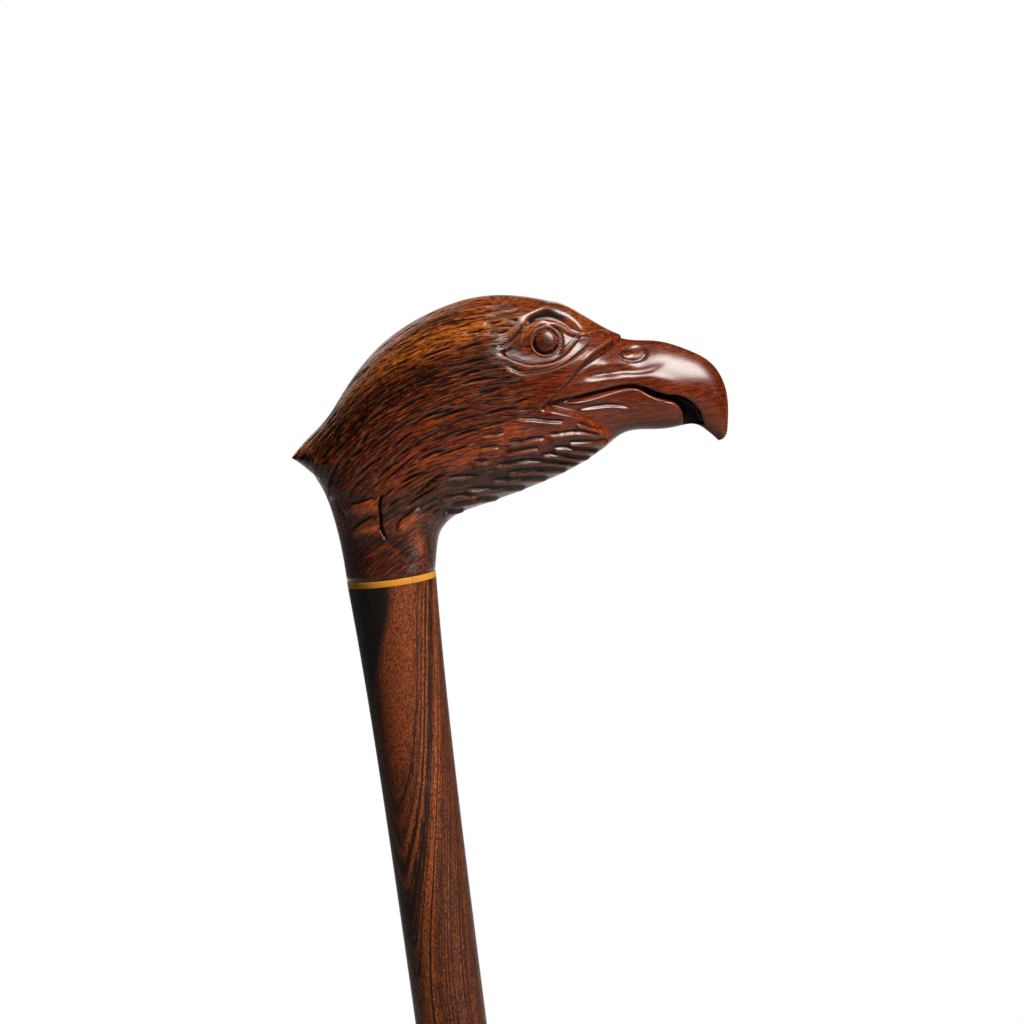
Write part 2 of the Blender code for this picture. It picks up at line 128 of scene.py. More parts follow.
def enclosed(points, faces):
    """Volume inside the faces, summed from the origin: below zero if they point inwards."""
    corners = np.array([(f[0], f[i], f[i + 1]) for f in faces for i in range(1, len(f) - 1)])
    a, b, c = (points[corners[:, i]] for i in range(3))
    return (a * np.cross(b, c)).sum() / 6


def placed(name, data):
    """A new object in the scene."""
    thing = bpy.data.objects.new(name, data)
    bpy.context.scene.collection.objects.link(thing)
    return thing


def surface(name, points, faces, material):
    """A new object of these points and faces, all of one material."""
    mesh = bpy.data.meshes.new(name)
    mesh.from_pydata(points, [], faces)
    mesh.materials.append(material)
    return placed(name, mesh)


def made(name, points, faces, material, body, slot, sharp_degrees=50):
    """A finished piece that stands for the CAD node it is named after."""
    if enclosed(points, faces) < 0:
        faces = [face[::-1] for face in faces]
    piece = surface(name + "_surface", points.tolist(), faces, material)
    piece.data.shade_smooth()
    piece.data.set_sharp_from_angle(angle=math.radians(sharp_degrees))
    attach(piece, body)
    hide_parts(name)
    return piece


def linear(colour):
    """The linear colour of an sRGB hex value such as "6e321e"."""
    parts = [int(colour[i : i + 2], 16) / 255 for i in (0, 2, 4)]
    return (*(p / 12.92 if p <= 0.04045 else ((p + 0.055) / 1.055) ** 2.4 for p in parts), 1)


def plug(tree, socket, value):
    """Gives an input a number, a vector, an sRGB hex colour or another node's output."""
    if isinstance(value, bpy.types.NodeSocket):
        tree.links.new(value, socket)
    else:
        socket.default_value = linear(value) if isinstance(value, str) else value


def add(tree, kind, *values, stops=(), **settings):
    """Adds a node and gives back the first of its outputs that is in use.

    The values go in turn to the inputs that are in use, and a capitalised keyword is an input
    by its name. The others are settings. Stops are a ramp's (place, hex), from left to right.
    """
    node = tree.nodes.new("ShaderNode" + kind)
    for key, value in settings.items():
        if key in node.inputs:
            plug(tree, node.inputs[key], value)
        else:
            setattr(node, key, value)
    for socket, value in zip([each for each in node.inputs if each.enabled], values):
        plug(tree, socket, value)
    for i, (place, colour) in enumerate(stops):
        if i > 1:
            node.color_ramp.elements.new(place)
        node.color_ramp.elements[i].position = place
        node.color_ramp.elements[i].color = linear(colour)
    return next(output for output in node.outputs if output.enabled)


def new_material(name):
    """A new material and its node tree."""
    material = bpy.data.materials.new(name)
    material.use_nodes = True
    return material, material.node_tree


def finish(tree, values):
    """Gives the tree's shader its colour, roughness and other inputs, and gives back its output."""
    shader = tree.nodes["Principled BSDF"]
    for name, value in values.items():
        plug(tree, shader.inputs[name], value)
    return shader.outputs[0]


def tip_profile():
    """Sole with ring-shaped grooves, skirt, drawn-in body, rounded beads, lip and socket."""
    sole = TIP_HIGH.x
    socket = WASHER_HIGH.x + TIP_PUSH_GAP + PART_GAP
    bead = WASHER_HIGH.x + PART_GAP + TIP_WALL
    waist = bead - TIP_BEAD_DEPTH
    top = TIP_HIGH.z
    rim = sole - TIP_SOLE_FILLET
    pitch = (rim - TREAD_PAD_RADIUS) / TREAD_GROOVES
    points = [(0, 0)]
    for groove in range(TREAD_GROOVES):
        inner = TREAD_PAD_RADIUS + groove * pitch
        outer = inner + TREAD_GROOVE_WIDTH
        points += [(inner - TREAD_EDGE, 0), (inner, TREAD_EDGE), (inner, TREAD_DEPTH)]
        points += [(outer, TREAD_DEPTH), (outer, TREAD_EDGE), (outer + TREAD_EDGE, 0)]
    points += arc((rim, TIP_SOLE_FILLET), TIP_SOLE_FILLET, -90, 0, 9)
    beads_bottom = top - TIP_BEADS * TIP_BEAD_HEIGHT
    share = np.linspace(0, 1, 29)
    height = TIP_SKIRT_HEIGHT + share * (beads_bottom - TIP_SKIRT_HEIGHT)
    points += list(zip(sole + np.sin(share * math.pi / 2) * (waist - sole), height))
    share = np.linspace(0, 1, 13)[1:]
    for number in range(TIP_BEADS):
        round_out = TIP_BEAD_DEPTH * np.sqrt(1 - (2 * share - 1) ** 4)
        height = beads_bottom + (number + share) * TIP_BEAD_HEIGHT
        points += list(zip(waist + round_out, height))
    points.pop()
    lip = TIP_LIP_FILLET
    points += arc((waist - lip, top - lip), lip, 0, 90, 5)
    points += arc((socket + lip, top - lip), lip, 90, 180, 5)
    floor = WASHER_LOW.z - PART_GAP
    return points + [(socket, floor), (0, floor)]


# Natural rubber from a steel mould: black, matt, faintly mottled where it has been handled.
rubber, tree = new_material("moulded_rubber")
place = add(tree, "TexCoord").node.outputs["Object"]
bloom = add(tree, "TexNoise", Vector=place, Scale=MOTTLES, Detail=4)
skin = add(tree, "TexNoise", Vector=place, Scale=SKIN_GRAIN, Detail=2)
finish(tree, {
    "Base Color": add(tree, "ValToRGB", bloom, stops=[(0.35, "17171a"), (0.7, "26262a")]),
    "Roughness": add(tree, "MapRange", bloom, 0, 1, 0.62, 0.8),
    "Normal": add(tree, "Bump", Strength=0.35, Distance=0.05 * MM, Height=skin),
    "IOR": 1.52,
})
made("rubber_tip", *turned(tip_profile(), TIP_SIDES), rubber, "foot", "rubber", 60)


# Tip washer
# A punched steel disc in the bottom of the tip's socket, so that the shaft's end grain doesn't
# cut through the rubber. It is zinc plated and lies loose under the shaft.

WASHER_EDGE = 0.35 * MM
WASHER_SIDES = 96
CLOUDS = 400  # to the metre: 2.5 mm across
rim = WASHER_HIGH.x - WASHER_EDGE
profile = [(0, WASHER_LOW.z)]
profile += arc((rim, WASHER_LOW.z + WASHER_EDGE), WASHER_EDGE, -90, 0, 5)
profile += arc((rim, WASHER_HIGH.z - WASHER_EDGE), WASHER_EDGE, 0, 90, 5)
profile += [(0, WASHER_HIGH.z)]

# Bright zinc plating on punched steel: a cool grey metal with a faint cloudy bloom.
zinc, tree = new_material("zinc_plated_steel")
place = add(tree, "TexCoord").node.outputs["Object"]
cloud = add(tree, "TexNoise", Vector=place, Scale=CLOUDS, Detail=3)
finish(tree, {
    "Base Color": add(tree, "ValToRGB", cloud, stops=[(0.3, "b4b8bc"), (0.7, "cdd0d2")]),
    "Roughness": add(tree, "MapRange", cloud, 0, 1, 0.28, 0.45),
    "Metallic": 1,
})
made("tip_washer", *turned(profile, WASHER_SIDES), zinc, "foot", "zinc_plated_steel", 60)


# Shaft
# The stick: straight-grained orange-brown hardwood, turned to an even taper that flares out to
# the ring, sanded along the grain and varnished. A blind bore in its top takes the stud.

SHAFT_LOW, SHAFT_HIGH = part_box("shaft")
RING_LOW, RING_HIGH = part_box("spacer_ring")
STUD_LOW, STUD_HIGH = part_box("joining_stud")
SHAFT_LENGTH = SHAFT_HIGH.z - SHAFT_LOW.z
COLLAR_RADIUS = RING_HIGH.x
SHAFT_FOOT_RADIUS = 9 * MM
SHAFT_HEAD_RADIUS = 10.25 * MM
FLARE_DECAY = 43 * MM
STUD_BORE_RADIUS = 4.3 * MM
BORE_END_GAP = 0.8 * MM
SHAFT_FILLET = 0.8 * MM
JOINT_FILLET = 0.12 * MM  # the broken edge where shaft, ring and handle meet
GLUE_LINE = 0.27 * MM  # what the frame leaves open at a joint, closed here from below or above
SHAFT_ROWS, SHAFT_SIDES = 150, 128


def shaft_radius(below):
    """Radius at a distance below the shaft's top: an even taper plus a flare that dies away."""
    taper = (SHAFT_HEAD_RADIUS - SHAFT_FOOT_RADIUS) * below / SHAFT_LENGTH
    flare = (COLLAR_RADIUS - SHAFT_HEAD_RADIUS) * np.exp(-below / FLARE_DECAY)
    return SHAFT_HEAD_RADIUS - taper + flare


def shaft_profile():
    """Rounded foot, tapered side whose rows gather at the flare, broken top edge and bore."""
    top, bottom = SHAFT_HIGH.z + GLUE_LINE, SHAFT_LOW.z
    foot = SHAFT_FOOT_RADIUS - SHAFT_FILLET
    below = (SHAFT_LENGTH - SHAFT_FILLET) * (1 - np.linspace(0, 1, SHAFT_ROWS)) ** 1.8
    below = np.maximum(below, JOINT_FILLET)
    points = [(0, bottom)] + arc((foot, bottom + SHAFT_FILLET), SHAFT_FILLET, -90, -10, 7)
    points += list(zip(shaft_radius(below), top - below))
    points += [(COLLAR_RADIUS - JOINT_FILLET, top), (STUD_BORE_RADIUS, top)]
    bore_floor = STUD_LOW.z - BORE_END_GAP
    return points + [(STUD_BORE_RADIUS, bore_floor), (0, bore_floor)]


def in_millimetres(tree, origin=(0, 0, 0)):
    """Object coordinates in millimetres from an origin."""
    place = add(tree, "TexCoord").node.outputs["Object"]
    shifted = add(tree, "VectorMath", place, origin, operation="SUBTRACT")
    return add(tree, "VectorMath", shifted, 1 / MM, operation="SCALE")


def stretched(tree, vector, sizes, detail=2.0, roughness=0.5):
    """Noise whose grains are about as long as the sizes along the vector's three parts."""
    scaled = add(tree, "VectorMath", vector, [1 / size for size in sizes], operation="MULTIPLY")
    return add(tree, "TexNoise", scaled, 1, detail, roughness)


# Varnished straight-grained hardwood: a plain orange-brown field that closes in a point, then
# ever closer dark growth lines that wind slowly round the stick, and open pores as fine dashes.
GROWTH_HEART = 18.6  # millimetres from the stick's axis to the heart of the tree, behind it
GROWTH_FACING, GROWTH_TURN = math.radians(11), math.radians(-62)
GROWTH_TURN_RUN = 75.0  # millimetres along the stick
GROWTH_SWELL, GROWTH_SWELL_RUN, GROWTH_SWELL_TOP = 1.5, 26.0, 44.0  # millimetres
GROWTH_SPAN = (7.75, 33.75)  # millimetres from the heart, for the colours from first to last
GROWTH_PLAIN = (31.65, 31.35)  # no fine lines further from the heart, all of them nearer
LINE_WIDTH = 0.3
FIBRE_GRAIN = (0.22, 0.22, 12)  # millimetres across the grain, twice, and along it
PORE_GRAIN = (0.15, 0.15, 0.8)
WANDER_GRAIN = (12, 12, 110)
# The dark streak: where its middle lies round the stick, how far it turns by the ring, and half
# its width. Then the run of that turn, and between which heights it narrows, in millimetres.
DARK_SIDE, DARK_SIDE_TURN, DARK_SIDE_HALF_WIDTH = (math.radians(turn) for turn in (-60, 60, 50))
DARK_SIDE_RUN, DARK_SIDE_NARROWS = 23.0, (-170, -430)
DARK_SIDE_NARROWING, DARK_SIDE_FEATHERING = 0.8, 0.35
shaft_wood, tree = new_material("varnished_hardwood_shaft")
vector = in_millimetres(tree, (0, 0, SHAFT_HIGH.z))
x, y, z = add(tree, "SeparateXYZ", vector).node.outputs
lean = add(tree, "Math", z, -1 / GROWTH_TURN_RUN, operation="MULTIPLY")
lean = add(tree, "Math", lean, operation="SINE")
lean = add(tree, "Math", lean, -GROWTH_TURN, -GROWTH_FACING, operation="MULTIPLY_ADD")
wound = add(tree, "VectorRotate", rotation_type="Z_AXIS", Vector=vector, Angle=lean)
aside, behind, _ = add(tree, "SeparateXYZ", wound).node.outputs
behind = add(tree, "Math", behind, GROWTH_HEART, operation="SUBTRACT")
distance = add(tree, "VectorMath", add(tree, "CombineXYZ", aside, behind), operation="LENGTH")
turns = -1 / GROWTH_SWELL_RUN, -GROWTH_SWELL_TOP / GROWTH_SWELL_RUN
swell = add(tree, "Math", z, *turns, operation="MULTIPLY_ADD")
swell = add(tree, "Math", swell, operation="COSINE")
slow = stretched(tree, vector, WANDER_GRAIN)
swell = add(tree, "Math", swell, GROWTH_SWELL, slow, operation="MULTIPLY_ADD")
rings = add(tree, "Math", swell, distance, operation="ADD")
fibre = stretched(tree, wound, FIBRE_GRAIN, 3, 0.6)
pores = stretched(tree, wound, PORE_GRAIN)
feathered = add(tree, "Math", fibre, 0.7, rings, operation="MULTIPLY_ADD")
wood = add(
    tree, "ValToRGB", add(tree, "MapRange", feathered, *GROWTH_SPAN),
    stops=[
        (0, "3a170c"), (0.1, "4b210f"), (0.1, "5c2812"), (0.2, "2a1009"), (0.28, "6a2e14"),
        (0.36, "260e08"), (0.45, "7a3818"), (0.52, "2e1209"), (0.58, "8a441e"), (0.63, "34150b"),
        (0.67, "7c3a1a"), (0.70, "2a100a"), (0.725, "8a421c"), (0.79, "ac5622"), (0.81, "1e0a05"),
        (0.822, "4c200e"), (0.836, "1a0804"), (0.848, "a04e20"), (0.862, "34150a"),
        (0.872, "b05a28"), (0.883, "34150a"), (0.893, "9e4c20"), (0.899, "9e4c20"),
        (0.904, "180804"), (0.908, "180804"), (0.912, "9a4a20"),
    ],
)
lines = add(tree, "TexNoise", noise_dimensions="1D", W=rings, Scale=1 / LINE_WIDTH, Detail=2)
lines = add(tree, "Math", fibre, 0.8, lines, operation="MULTIPLY_ADD")
calm = add(tree, "MapRange", feathered, *GROWTH_PLAIN)
light = add(tree, "MapRange", lines, 0.95, 1.03, 0, 0.5)
light = add(tree, "Math", light, calm, operation="MULTIPLY")
shade = add(tree, "MapRange", lines, 0.87, 0.78, 0, 0.92)
shade = add(tree, "Math", shade, calm, operation="MULTIPLY")
dash = add(tree, "MapRange", pores, 0.46, 0.53, 0, 0.92)
# A nearly black streak runs down one side: partly heartwood, partly painted shade on the side
# that faces away from the key lamp. It turns away below the ring, and further down it narrows
# to a point.
around = add(tree, "Math", y, -1, operation="MULTIPLY")
around = add(tree, "Math", x, around, operation="ARCTAN2")
edge = add(tree, "Math", z, 1 / DARK_SIDE_RUN, operation="MULTIPLY")
edge = add(tree, "Math", edge, edge, operation="MULTIPLY")
edge = add(tree, "Math", edge, -1, operation="MULTIPLY")
edge = add(tree, "Math", edge, operation="EXPONENT")
turns = DARK_SIDE_TURN, DARK_SIDE - DARK_SIDE_HALF_WIDTH
edge = add(tree, "Math", edge, *turns, operation="MULTIPLY_ADD")
past = add(tree, "Math", edge, around, operation="SUBTRACT")
past = add(tree, "Math", past, operation="COSINE")
shares = 1 / math.sin(DARK_SIDE_HALF_WIDTH), -1 / math.tan(DARK_SIDE_HALF_WIDTH)
past = add(tree, "Math", past, *shares, operation="MULTIPLY_ADD")
narrowed = add(tree, "MapRange", z, *DARK_SIDE_NARROWS)
past = add(tree, "Math", narrowed, -DARK_SIDE_NARROWING, past, operation="MULTIPLY_ADD")
past = add(tree, "Math", fibre, DARK_SIDE_FEATHERING, past, operation="MULTIPLY_ADD")
heartwood_and_shade = add(tree, "MapRange", past, 0.1, 0.3, 0, 0.95)
for share, colour in (
    (light, "c0642c"), (shade, "160703"), (dash, "140603"), (heartwood_and_shade, "080302"),
):
    wood = add(tree, "Mix", share, wood, colour, data_type="RGBA")
finish(tree, {
    "Base Color": wood,
    "Roughness": add(tree, "MapRange", dash, 0, 1, 0.3, 0.5),
    "Normal": add(tree, "Bump", Strength=0.35, Distance=-0.06 * MM, Height=dash),
    "IOR": 1.42,
})
made("shaft", *turned(shaft_profile(), SHAFT_SIDES), shaft_wood, "cane", "shaft_hardwood")


# Joining stud
# A plain steel stud with a rolled thread on both ends, glued into the blind bores of shaft and
# handle. It is what really holds the head on, and no part of it shows.

STUD_RADIUS = 4 * MM
STUD_PITCH = 1.25 * MM
STUD_THREAD_DEPTH = 0.65 * MM
STUD_THREAD_LENGTH = 20 * MM
STUD_SIDES = 40
ROWS_PER_TURN = 10
DRAWN_GRAIN = (0.2, 0.2, 6)  # millimetres


def stud_rows():
    """Rows of the stud: radius = full radius - depth (1 - cos(2 pi (height / pitch - turn))) / 2.

    The thread fades out into the plain shank over one pitch, and both ends taper in.
    """
    bottom, top = STUD_LOW.z, STUD_HIGH.z
    count = round((top - bottom) / STUD_PITCH * ROWS_PER_TURN)
    height = np.linspace(bottom, top, count)[:, None]
    turn = np.arange(STUD_SIDES)[None] / STUD_SIDES
    from_end = np.minimum(height - bottom, top - height)
    fade = np.clip((STUD_THREAD_LENGTH - from_end) / STUD_PITCH, 0, 1)
    lead = np.clip(1 - from_end / STUD_PITCH, 0, 1) * STUD_THREAD_DEPTH
    wave = 0.5 - 0.5 * np.cos(2 * math.pi * (height / STUD_PITCH - turn))
    radius = STUD_RADIUS - lead - STUD_THREAD_DEPTH * wave * fade
    angle = 2 * math.pi * turn
    return np.stack(
        [radius * np.cos(angle), radius * np.sin(angle), height + 0 * radius], axis=-1
    )


# Plain steel as the thread roller leaves it: dull grey with faint drawing marks along it.
steel, tree = new_material("rolled_steel")
drawn_marks = stretched(tree, in_millimetres(tree, (0, 0, STUD_LOW.z)), DRAWN_GRAIN)
finish(tree, {
    "Base Color": add(tree, "ValToRGB", drawn_marks, stops=[(0.3, "8f9194"), (0.7, "a6a8ab")]),
    "Roughness": add(tree, "MapRange", drawn_marks, 0, 1, 0.34, 0.5),
    "Metallic": 1,
})
stud = closed_rows(stud_rows(), poles=(STUD_LOW.z, STUD_HIGH.z))
made("joining_stud", *stud, steel, "cane", "stud_steel")


# Spacer ring
# A thin washer of golden boxwood, glued between shaft and handle and turned flush with both. It
# is close grained, with fine upright ticks where the tool crossed the end grain.

RING_FILLET = 0.1 * MM
RING_SIDES = 160
TICK_GRAIN, PATCH_GRAIN = (0.22, 0.22, 5), (3, 3, 8)  # millimetres
low, high = RING_LOW.z, RING_HIGH.z
rim = COLLAR_RADIUS - RING_FILLET
profile = [(STUD_BORE_RADIUS, low)]
profile += arc((rim, low + RING_FILLET), RING_FILLET, -90, 0, 4)
profile += arc((rim, high - RING_FILLET), RING_FILLET, 0, 90, 4)
profile += [(STUD_BORE_RADIUS, high)]

# Varnished boxwood: honey yellow, almost without figure, with fine darker ticks.
boxwood, tree = new_material("varnished_boxwood")
vector = in_millimetres(tree, (0, 0, RING_LOW.z))
ticks = stretched(tree, vector, TICK_GRAIN, 2, 0.6)
patches = stretched(tree, vector, PATCH_GRAIN)
tone = add(tree, "Math", patches, 0.5, ticks, operation="MULTIPLY_ADD")
gold = add(
    tree, "ValToRGB", add(tree, "MapRange", tone, 0.5, 1.0),
    stops=[(0, "9c5412"), (0.5, "cc913b"), (0.5, "cc8626")],
)
finish(tree, {"Base Color": gold, "Roughness": 0.32, "IOR": 1.45})
made("spacer_ring", *turned(profile, RING_SIDES), boxwood, "cane", "ring_boxwood")


# Eagle handle
# One block of dark red-brown hardwood, band-sawn to the outline of an eagle's head, carved with
# gouges and a parting tool, sanded, oiled and polished. It is glued on the stud.

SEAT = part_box("eagle_handle")[0].z
# The uncarved head in millimetres, from the shaft's axis and the seat. Each section, neck to
# beak: crown edge (x, z), throat edge (x, z), half width, height of the widest place (0 at the
# throat edge, 1 at the crown edge), roundness above and below it (2 is an ellipse).
NECK = COLLAR_RADIUS / MM
SECTIONS = {
    "seat": ((-NECK, 0), (NECK, 0), NECK, 0.5, 2.0, 2.0),
    "neck": ((-NECK - 0.5, 12), (NECK + 1.9, 8.2), NECK + 0.2, 0.5, 2.0, 2.0),
    "throat_bend": ((-NECK - 2.1, 23.8), (NECK + 4.0, 11.8), NECK + 1.2, 0.5, 2.0, 2.0),
    "under_nape": ((-NECK - 3.7, 30.5), (NECK + 6.3, 13.7), NECK + 2.1, 0.5, 2.0, 2.0),
    "nape": ((-NECK - 4.9, 36.6), (NECK + 8.8, 14.9), NECK + 2.9, 0.5, 1.9, 2.0),
    "hackles": ((-13.5, 44.4), (25.5, 16.0), 17.0, 0.5, 2.0, 2.1),
    "back_head": ((-3.8, 56.4), (31, 17.1), 18.2, 0.5, 2.1, 2.1),
    "crown_rear": ((6.9, 65.9), (37, 18.4), 18.9, 0.5, 2.2, 2.1),
    "crown": ((21.2, 72.5), (44, 20.1), 19.0, 0.5, 2.4, 2.1),
    "crown_front": ((35.4, 75.0), (51.4, 22.2), 18.3, 0.5, 2.5, 2.1),
    "brow": ((48.9, 73.1), (58.6, 25.0), 16.9, 0.5, 2.6, 2.1),
    "lore": ((61.9, 67.3), (66.0, 28.6), 13.9, 0.48, 2.4, 2.1),
    "cere": ((74.2, 58.9), (73.3, 31.0), 10.4, 0.42, 1.9, 2.2),
    "beak": ((83.4, 57.0), (80, 30.4), 8.9, 0.45, 1.7, 2.2),
    "beak_bend": ((92.2, 53.2), (86, 30.4), 7.3, 0.45, 1.7, 2.2),
    "hook_top": ((98.7, 48.2), (90.6, 30.5), 5.6, 0.5, 1.8, 2.2),
    "hook": ((101.9, 40.3), (93.6, 28.4), 4.3, 0.55, 1.9, 2.2),
    "hook_low": ((101.7, 32.8), (95.4, 26.5), 3.2, 0.55, 2.0, 2.0),
    "tip": ((100.4, 25.9), (97.0, 24.5), 1.9, 0.5, 2.0, 2.0),
}
TUFT_REACH = 6.0  # the nape feathers gather in a point on the back of the neck
TUFT_SLOPE = 2.0
TUFT_LENGTH = 1.7  # in lengths from nape to hackles
TUFT_UNDERCUT = 3.2
TUFT_SPREAD = 0.5
HOOK_END_LENGTH = 1.6
COLUMNS = 432  # points round the head, and half as many round the beak
SIDE_CROWDING = 0.4  # columns lie closer on the sides than on crown and throat
HEAD_ROWS = (  # how many from one section to another
    ("seat", "neck", 8), ("neck", "nape", 34), ("nape", "crown_front", 62),
    ("crown_front", "lore", 60), ("lore", "cere", 28),
)
BEAK_ROWS = (("cere", "hook_top", 42), ("hook_top", "tip", 20))
ROUND_END_ROWS = 8


def natural_spline(knots, values, at):
    """The natural cubic spline through the values at the knots, read at the given places.

    Between two knots it is the straight line plus the cubic whose second derivatives, found
    from one linear system, make slope and bend continuous, with no bend at the two ends.
    """
    knots, values, at = (np.asarray(a, float) for a in (knots, values, at))
    step = np.diff(knots)
    slope = np.diff(values, axis=0) / step[:, None]
    count = len(knots)
    system, right = np.eye(count), np.zeros_like(values)
    for i in range(1, count - 1):
        system[i, i - 1 : i + 2] = step[i - 1], 2 * (step[i - 1] + step[i]), step[i]
        right[i] = 6 * (slope[i] - slope[i - 1])
    bend = np.linalg.solve(system, right)
    k = np.clip(np.searchsorted(knots, at, side="right") - 1, 0, count - 2)
    h, left, rest = step[k][:, None], (at - knots[k])[:, None], (knots[k + 1] - at)[:, None]
    curve = (bend[k] * rest**3 + bend[k + 1] * left**3) / (6 * h)
    line = (values[k] / h - bend[k] * h / 6) * rest + (values[k + 1] / h - bend[k + 1] * h / 6) * left
    return curve + line


def section_places():
    """How far along the handle each section lies: the mean of the two edges' lengths."""
    edges = np.array([[*section[0], *section[1]] for section in SECTIONS.values()], float)
    moved = np.diff(edges, axis=0)
    length = (np.hypot(moved[:, 0], moved[:, 1]) + np.hypot(moved[:, 2], moved[:, 3])) / 2
    return np.concatenate([[0], np.cumsum(length)])


SECTION_NAMES = list(SECTIONS)
PLACES = section_places()


def head_grid(places, around):
    """Points of the uncarved head in millimetres: one row per place, one column per angle.

    A row is a flat section between its crown and throat edges, across Y = 0. Above and below
    its widest place it is a quarter of a superellipse. The last stretch is rounded off.
    """
    rows = list(SECTIONS.values())
    crown = natural_spline(PLACES, [row[0] for row in rows], places)
    throat = natural_spline(PLACES, [row[1] for row in rows], places)
    shape = natural_spline(PLACES, [row[2:] for row in rows], places)
    width, widest, above, below = (shape[:, i : i + 1] for i in range(4))
    left = np.clip((PLACES[-1] - places) / HOOK_END_LENGTH, 0, 1)
    rounding = np.sqrt(1 - (1 - left) ** 2)[:, None]
    middle = throat + (crown - throat) * widest
    cosine, sine = np.cos(around)[None], np.abs(np.sin(around))[None]
    power = 2 / np.where(cosine > 0, above, below)
    reach = np.abs(cosine) ** power * rounding
    edge = np.where((cosine > 0)[..., None], (crown - middle)[:, None], (throat - middle)[:, None])
    end = middle[:, None] + (crown + throat - 2 * middle)[:, None] / 2 * (1 - rounding[..., None])
    flat = end + edge * reach[..., None]
    side = np.where(np.sin(around) < 0, -1.0, 1.0)[None] * width * sine**power * rounding
    nape = PLACES[SECTION_NAMES.index("nape")]
    hackles = PLACES[SECTION_NAMES.index("hackles")]
    above_nape = np.clip(1 - (places - nape) / (hackles - nape) / TUFT_LENGTH, 0, 1) ** TUFT_SLOPE
    tuft = np.where(places > nape, above_nape, np.exp(-np.maximum(nape - places, 0) / TUFT_UNDERCUT))
    turn = (around[None] + math.pi) % (2 * math.pi) - math.pi
    back = TUFT_REACH * tuft[:, None] * np.exp(-((turn / TUFT_SPREAD) ** 2))
    return np.stack([flat[..., 0] - back, side, flat[..., 1]], axis=-1)


def run_of_rows(first, last, rows):
    """Evenly spaced places from one section up to, but without, another."""
    start, stop = (PLACES[SECTION_NAMES.index(name)] for name in (first, last))
    if last == "tip":
        stop -= HOOK_END_LENGTH
    return np.linspace(start, stop, rows, endpoint=False)


def normals_of(grid):
    """Outward unit normals of rows that go round: the cross product of the two differences."""
    along = np.gradient(grid, axis=0)
    across = np.roll(grid, -1, 1) - np.roll(grid, 1, 1)
    normal = np.cross(across, along)
    normal /= np.maximum(np.linalg.norm(normal, axis=-1, keepdims=True), 1e-9)
    return normal * np.sign((normal[..., 1] * grid[..., 1]).sum())


# The carved lines in side view, in millimetres from the shaft's axis and the seat. They are cut
# alike on both sides, and run from the back of the head to the front.
EYE = (52.4, 61.3)
SOCKET = (12.5, 6.5, 1.9)  # half length, half height and depth of the hollow round the eye
EYE_TILT, EYE_TURN = 0.15, 0.05  # the hollow's floor faces more squarely to the side than the head
EYE_RADIUS, EYE_DARKENING = 3.4, 0.15  # the eyeball is darkened
EYE_SINK = 0.95  # depth of the ground between the lids
EYE_INSET, GAP_INSET, INSET_BLEND = 0.4, 0.1, 0.22  # how far inside its outline an opening starts
EYE_GROUND, EYE_PUPIL = (11.5, 0.85), (3.3, 1.3)  # radius and height
EYE_GROOVE, EYE_BEAD = (3.5, 0.35, -0.7), (4.2, 0.28, 0.35)  # radius, half width and height
EYE_UPPER_GROOVE, EYE_ARC = (4.7, 0.4, -0.5), (7.1, 0.3, 0.22)
EYE_MARKS, EYE_MARK_COUNT = (4.3, 0.45, 0.18), 33
LID_EDGE = (
    (39.4, 60.1), (42.4, 61.2), (47.0, 63.7), (49.8, 65.7), (51.3, 66.2), (53.6, 65.9),
    (56.1, 65.0), (58.5, 63.4), (61.0, 61.9), (63.3, 61.2),
)
LOWER_LID = (
    (39.1, 59.4), (41.8, 57.2), (43.5, 56.3), (45.8, 55.2), (48.3, 54.8), (50.8, 54.7),
    (53.4, 54.9), (56.0, 55.8), (58.2, 57.2), (60.3, 59.1), (63.2, 61.1),
)
CERE_FOLD = (
    (49.0, 43.0), (52.1, 45.4), (54.9, 47.5), (58.6, 50.7), (63.3, 53.7), (68.3, 55.9), (73.0, 58.7),
)
MOUTH = (
    (50.6, 43.2), (54.5, 43.6), (59.7, 43.9), (64.5, 44.4), (69.4, 44.9), (73.2, 45.1),
    (76.5, 44.4), (78.6, 42.7), (82.1, 40.4), (87.7, 38.3), (90.3, 36.4), (91.9, 34.1),
)
JAW_FOLD = (
    (48.9, 42.6), (53.0, 41.2), (55.8, 40.1), (58.4, 38.9), (60.8, 37.4), (63.0, 35.6),
    (64.9, 33.6), (66.5, 31.4), (68.2, 28.4), (69.6, 25.0), (70.8, 21.0),
)
JAW_GAP = (
    (77.8, 44.3), (81.2, 42.2), (84.1, 40.9), (86.8, 40.4), (89.1, 39.3), (91.2, 37.5),
    (92.8, 34.8), (93.4, 30.5), (87.6, 30.5), (88.2, 33.2), (88.2, 35.0), (87.2, 37.2),
    (85.9, 38.7), (83.9, 39.8), (81.0, 41.3), (78.1, 43.2),
)
NECK_CREASE = (
    (0.5, 11.0), (-0.3, 13.4), (-0.6, 15.2), (-0.4, 18.3), (-0.3, 20.8), (0.2, 22.6), (1.0, 24.4),
)
NECK_CUTS = (
    ((-10.5, 30.5), (-11.4, 26.9), (-11.5, 23.8), (-10.8, 21.1), (-9.4, 18.5)),
    ((-13.6, 29.8), (-14.2, 26.4), (-14.0, 23.8)),
    ((0.2, 23.6), (-3.1, 22.8), (-5.7, 22.3), (-9.2, 21.9)),
    ((-0.9, 18.6), (-2.6, 17.9), (-4.7, 17.0), (-7.0, 15.8), (-9.4, 14.2)),
    ((12.6, 18.4), (10.2, 18.7), (8.1, 17.9), (6.1, 16.6), (4.5, 15.0), (3.4, 12.6)),
)
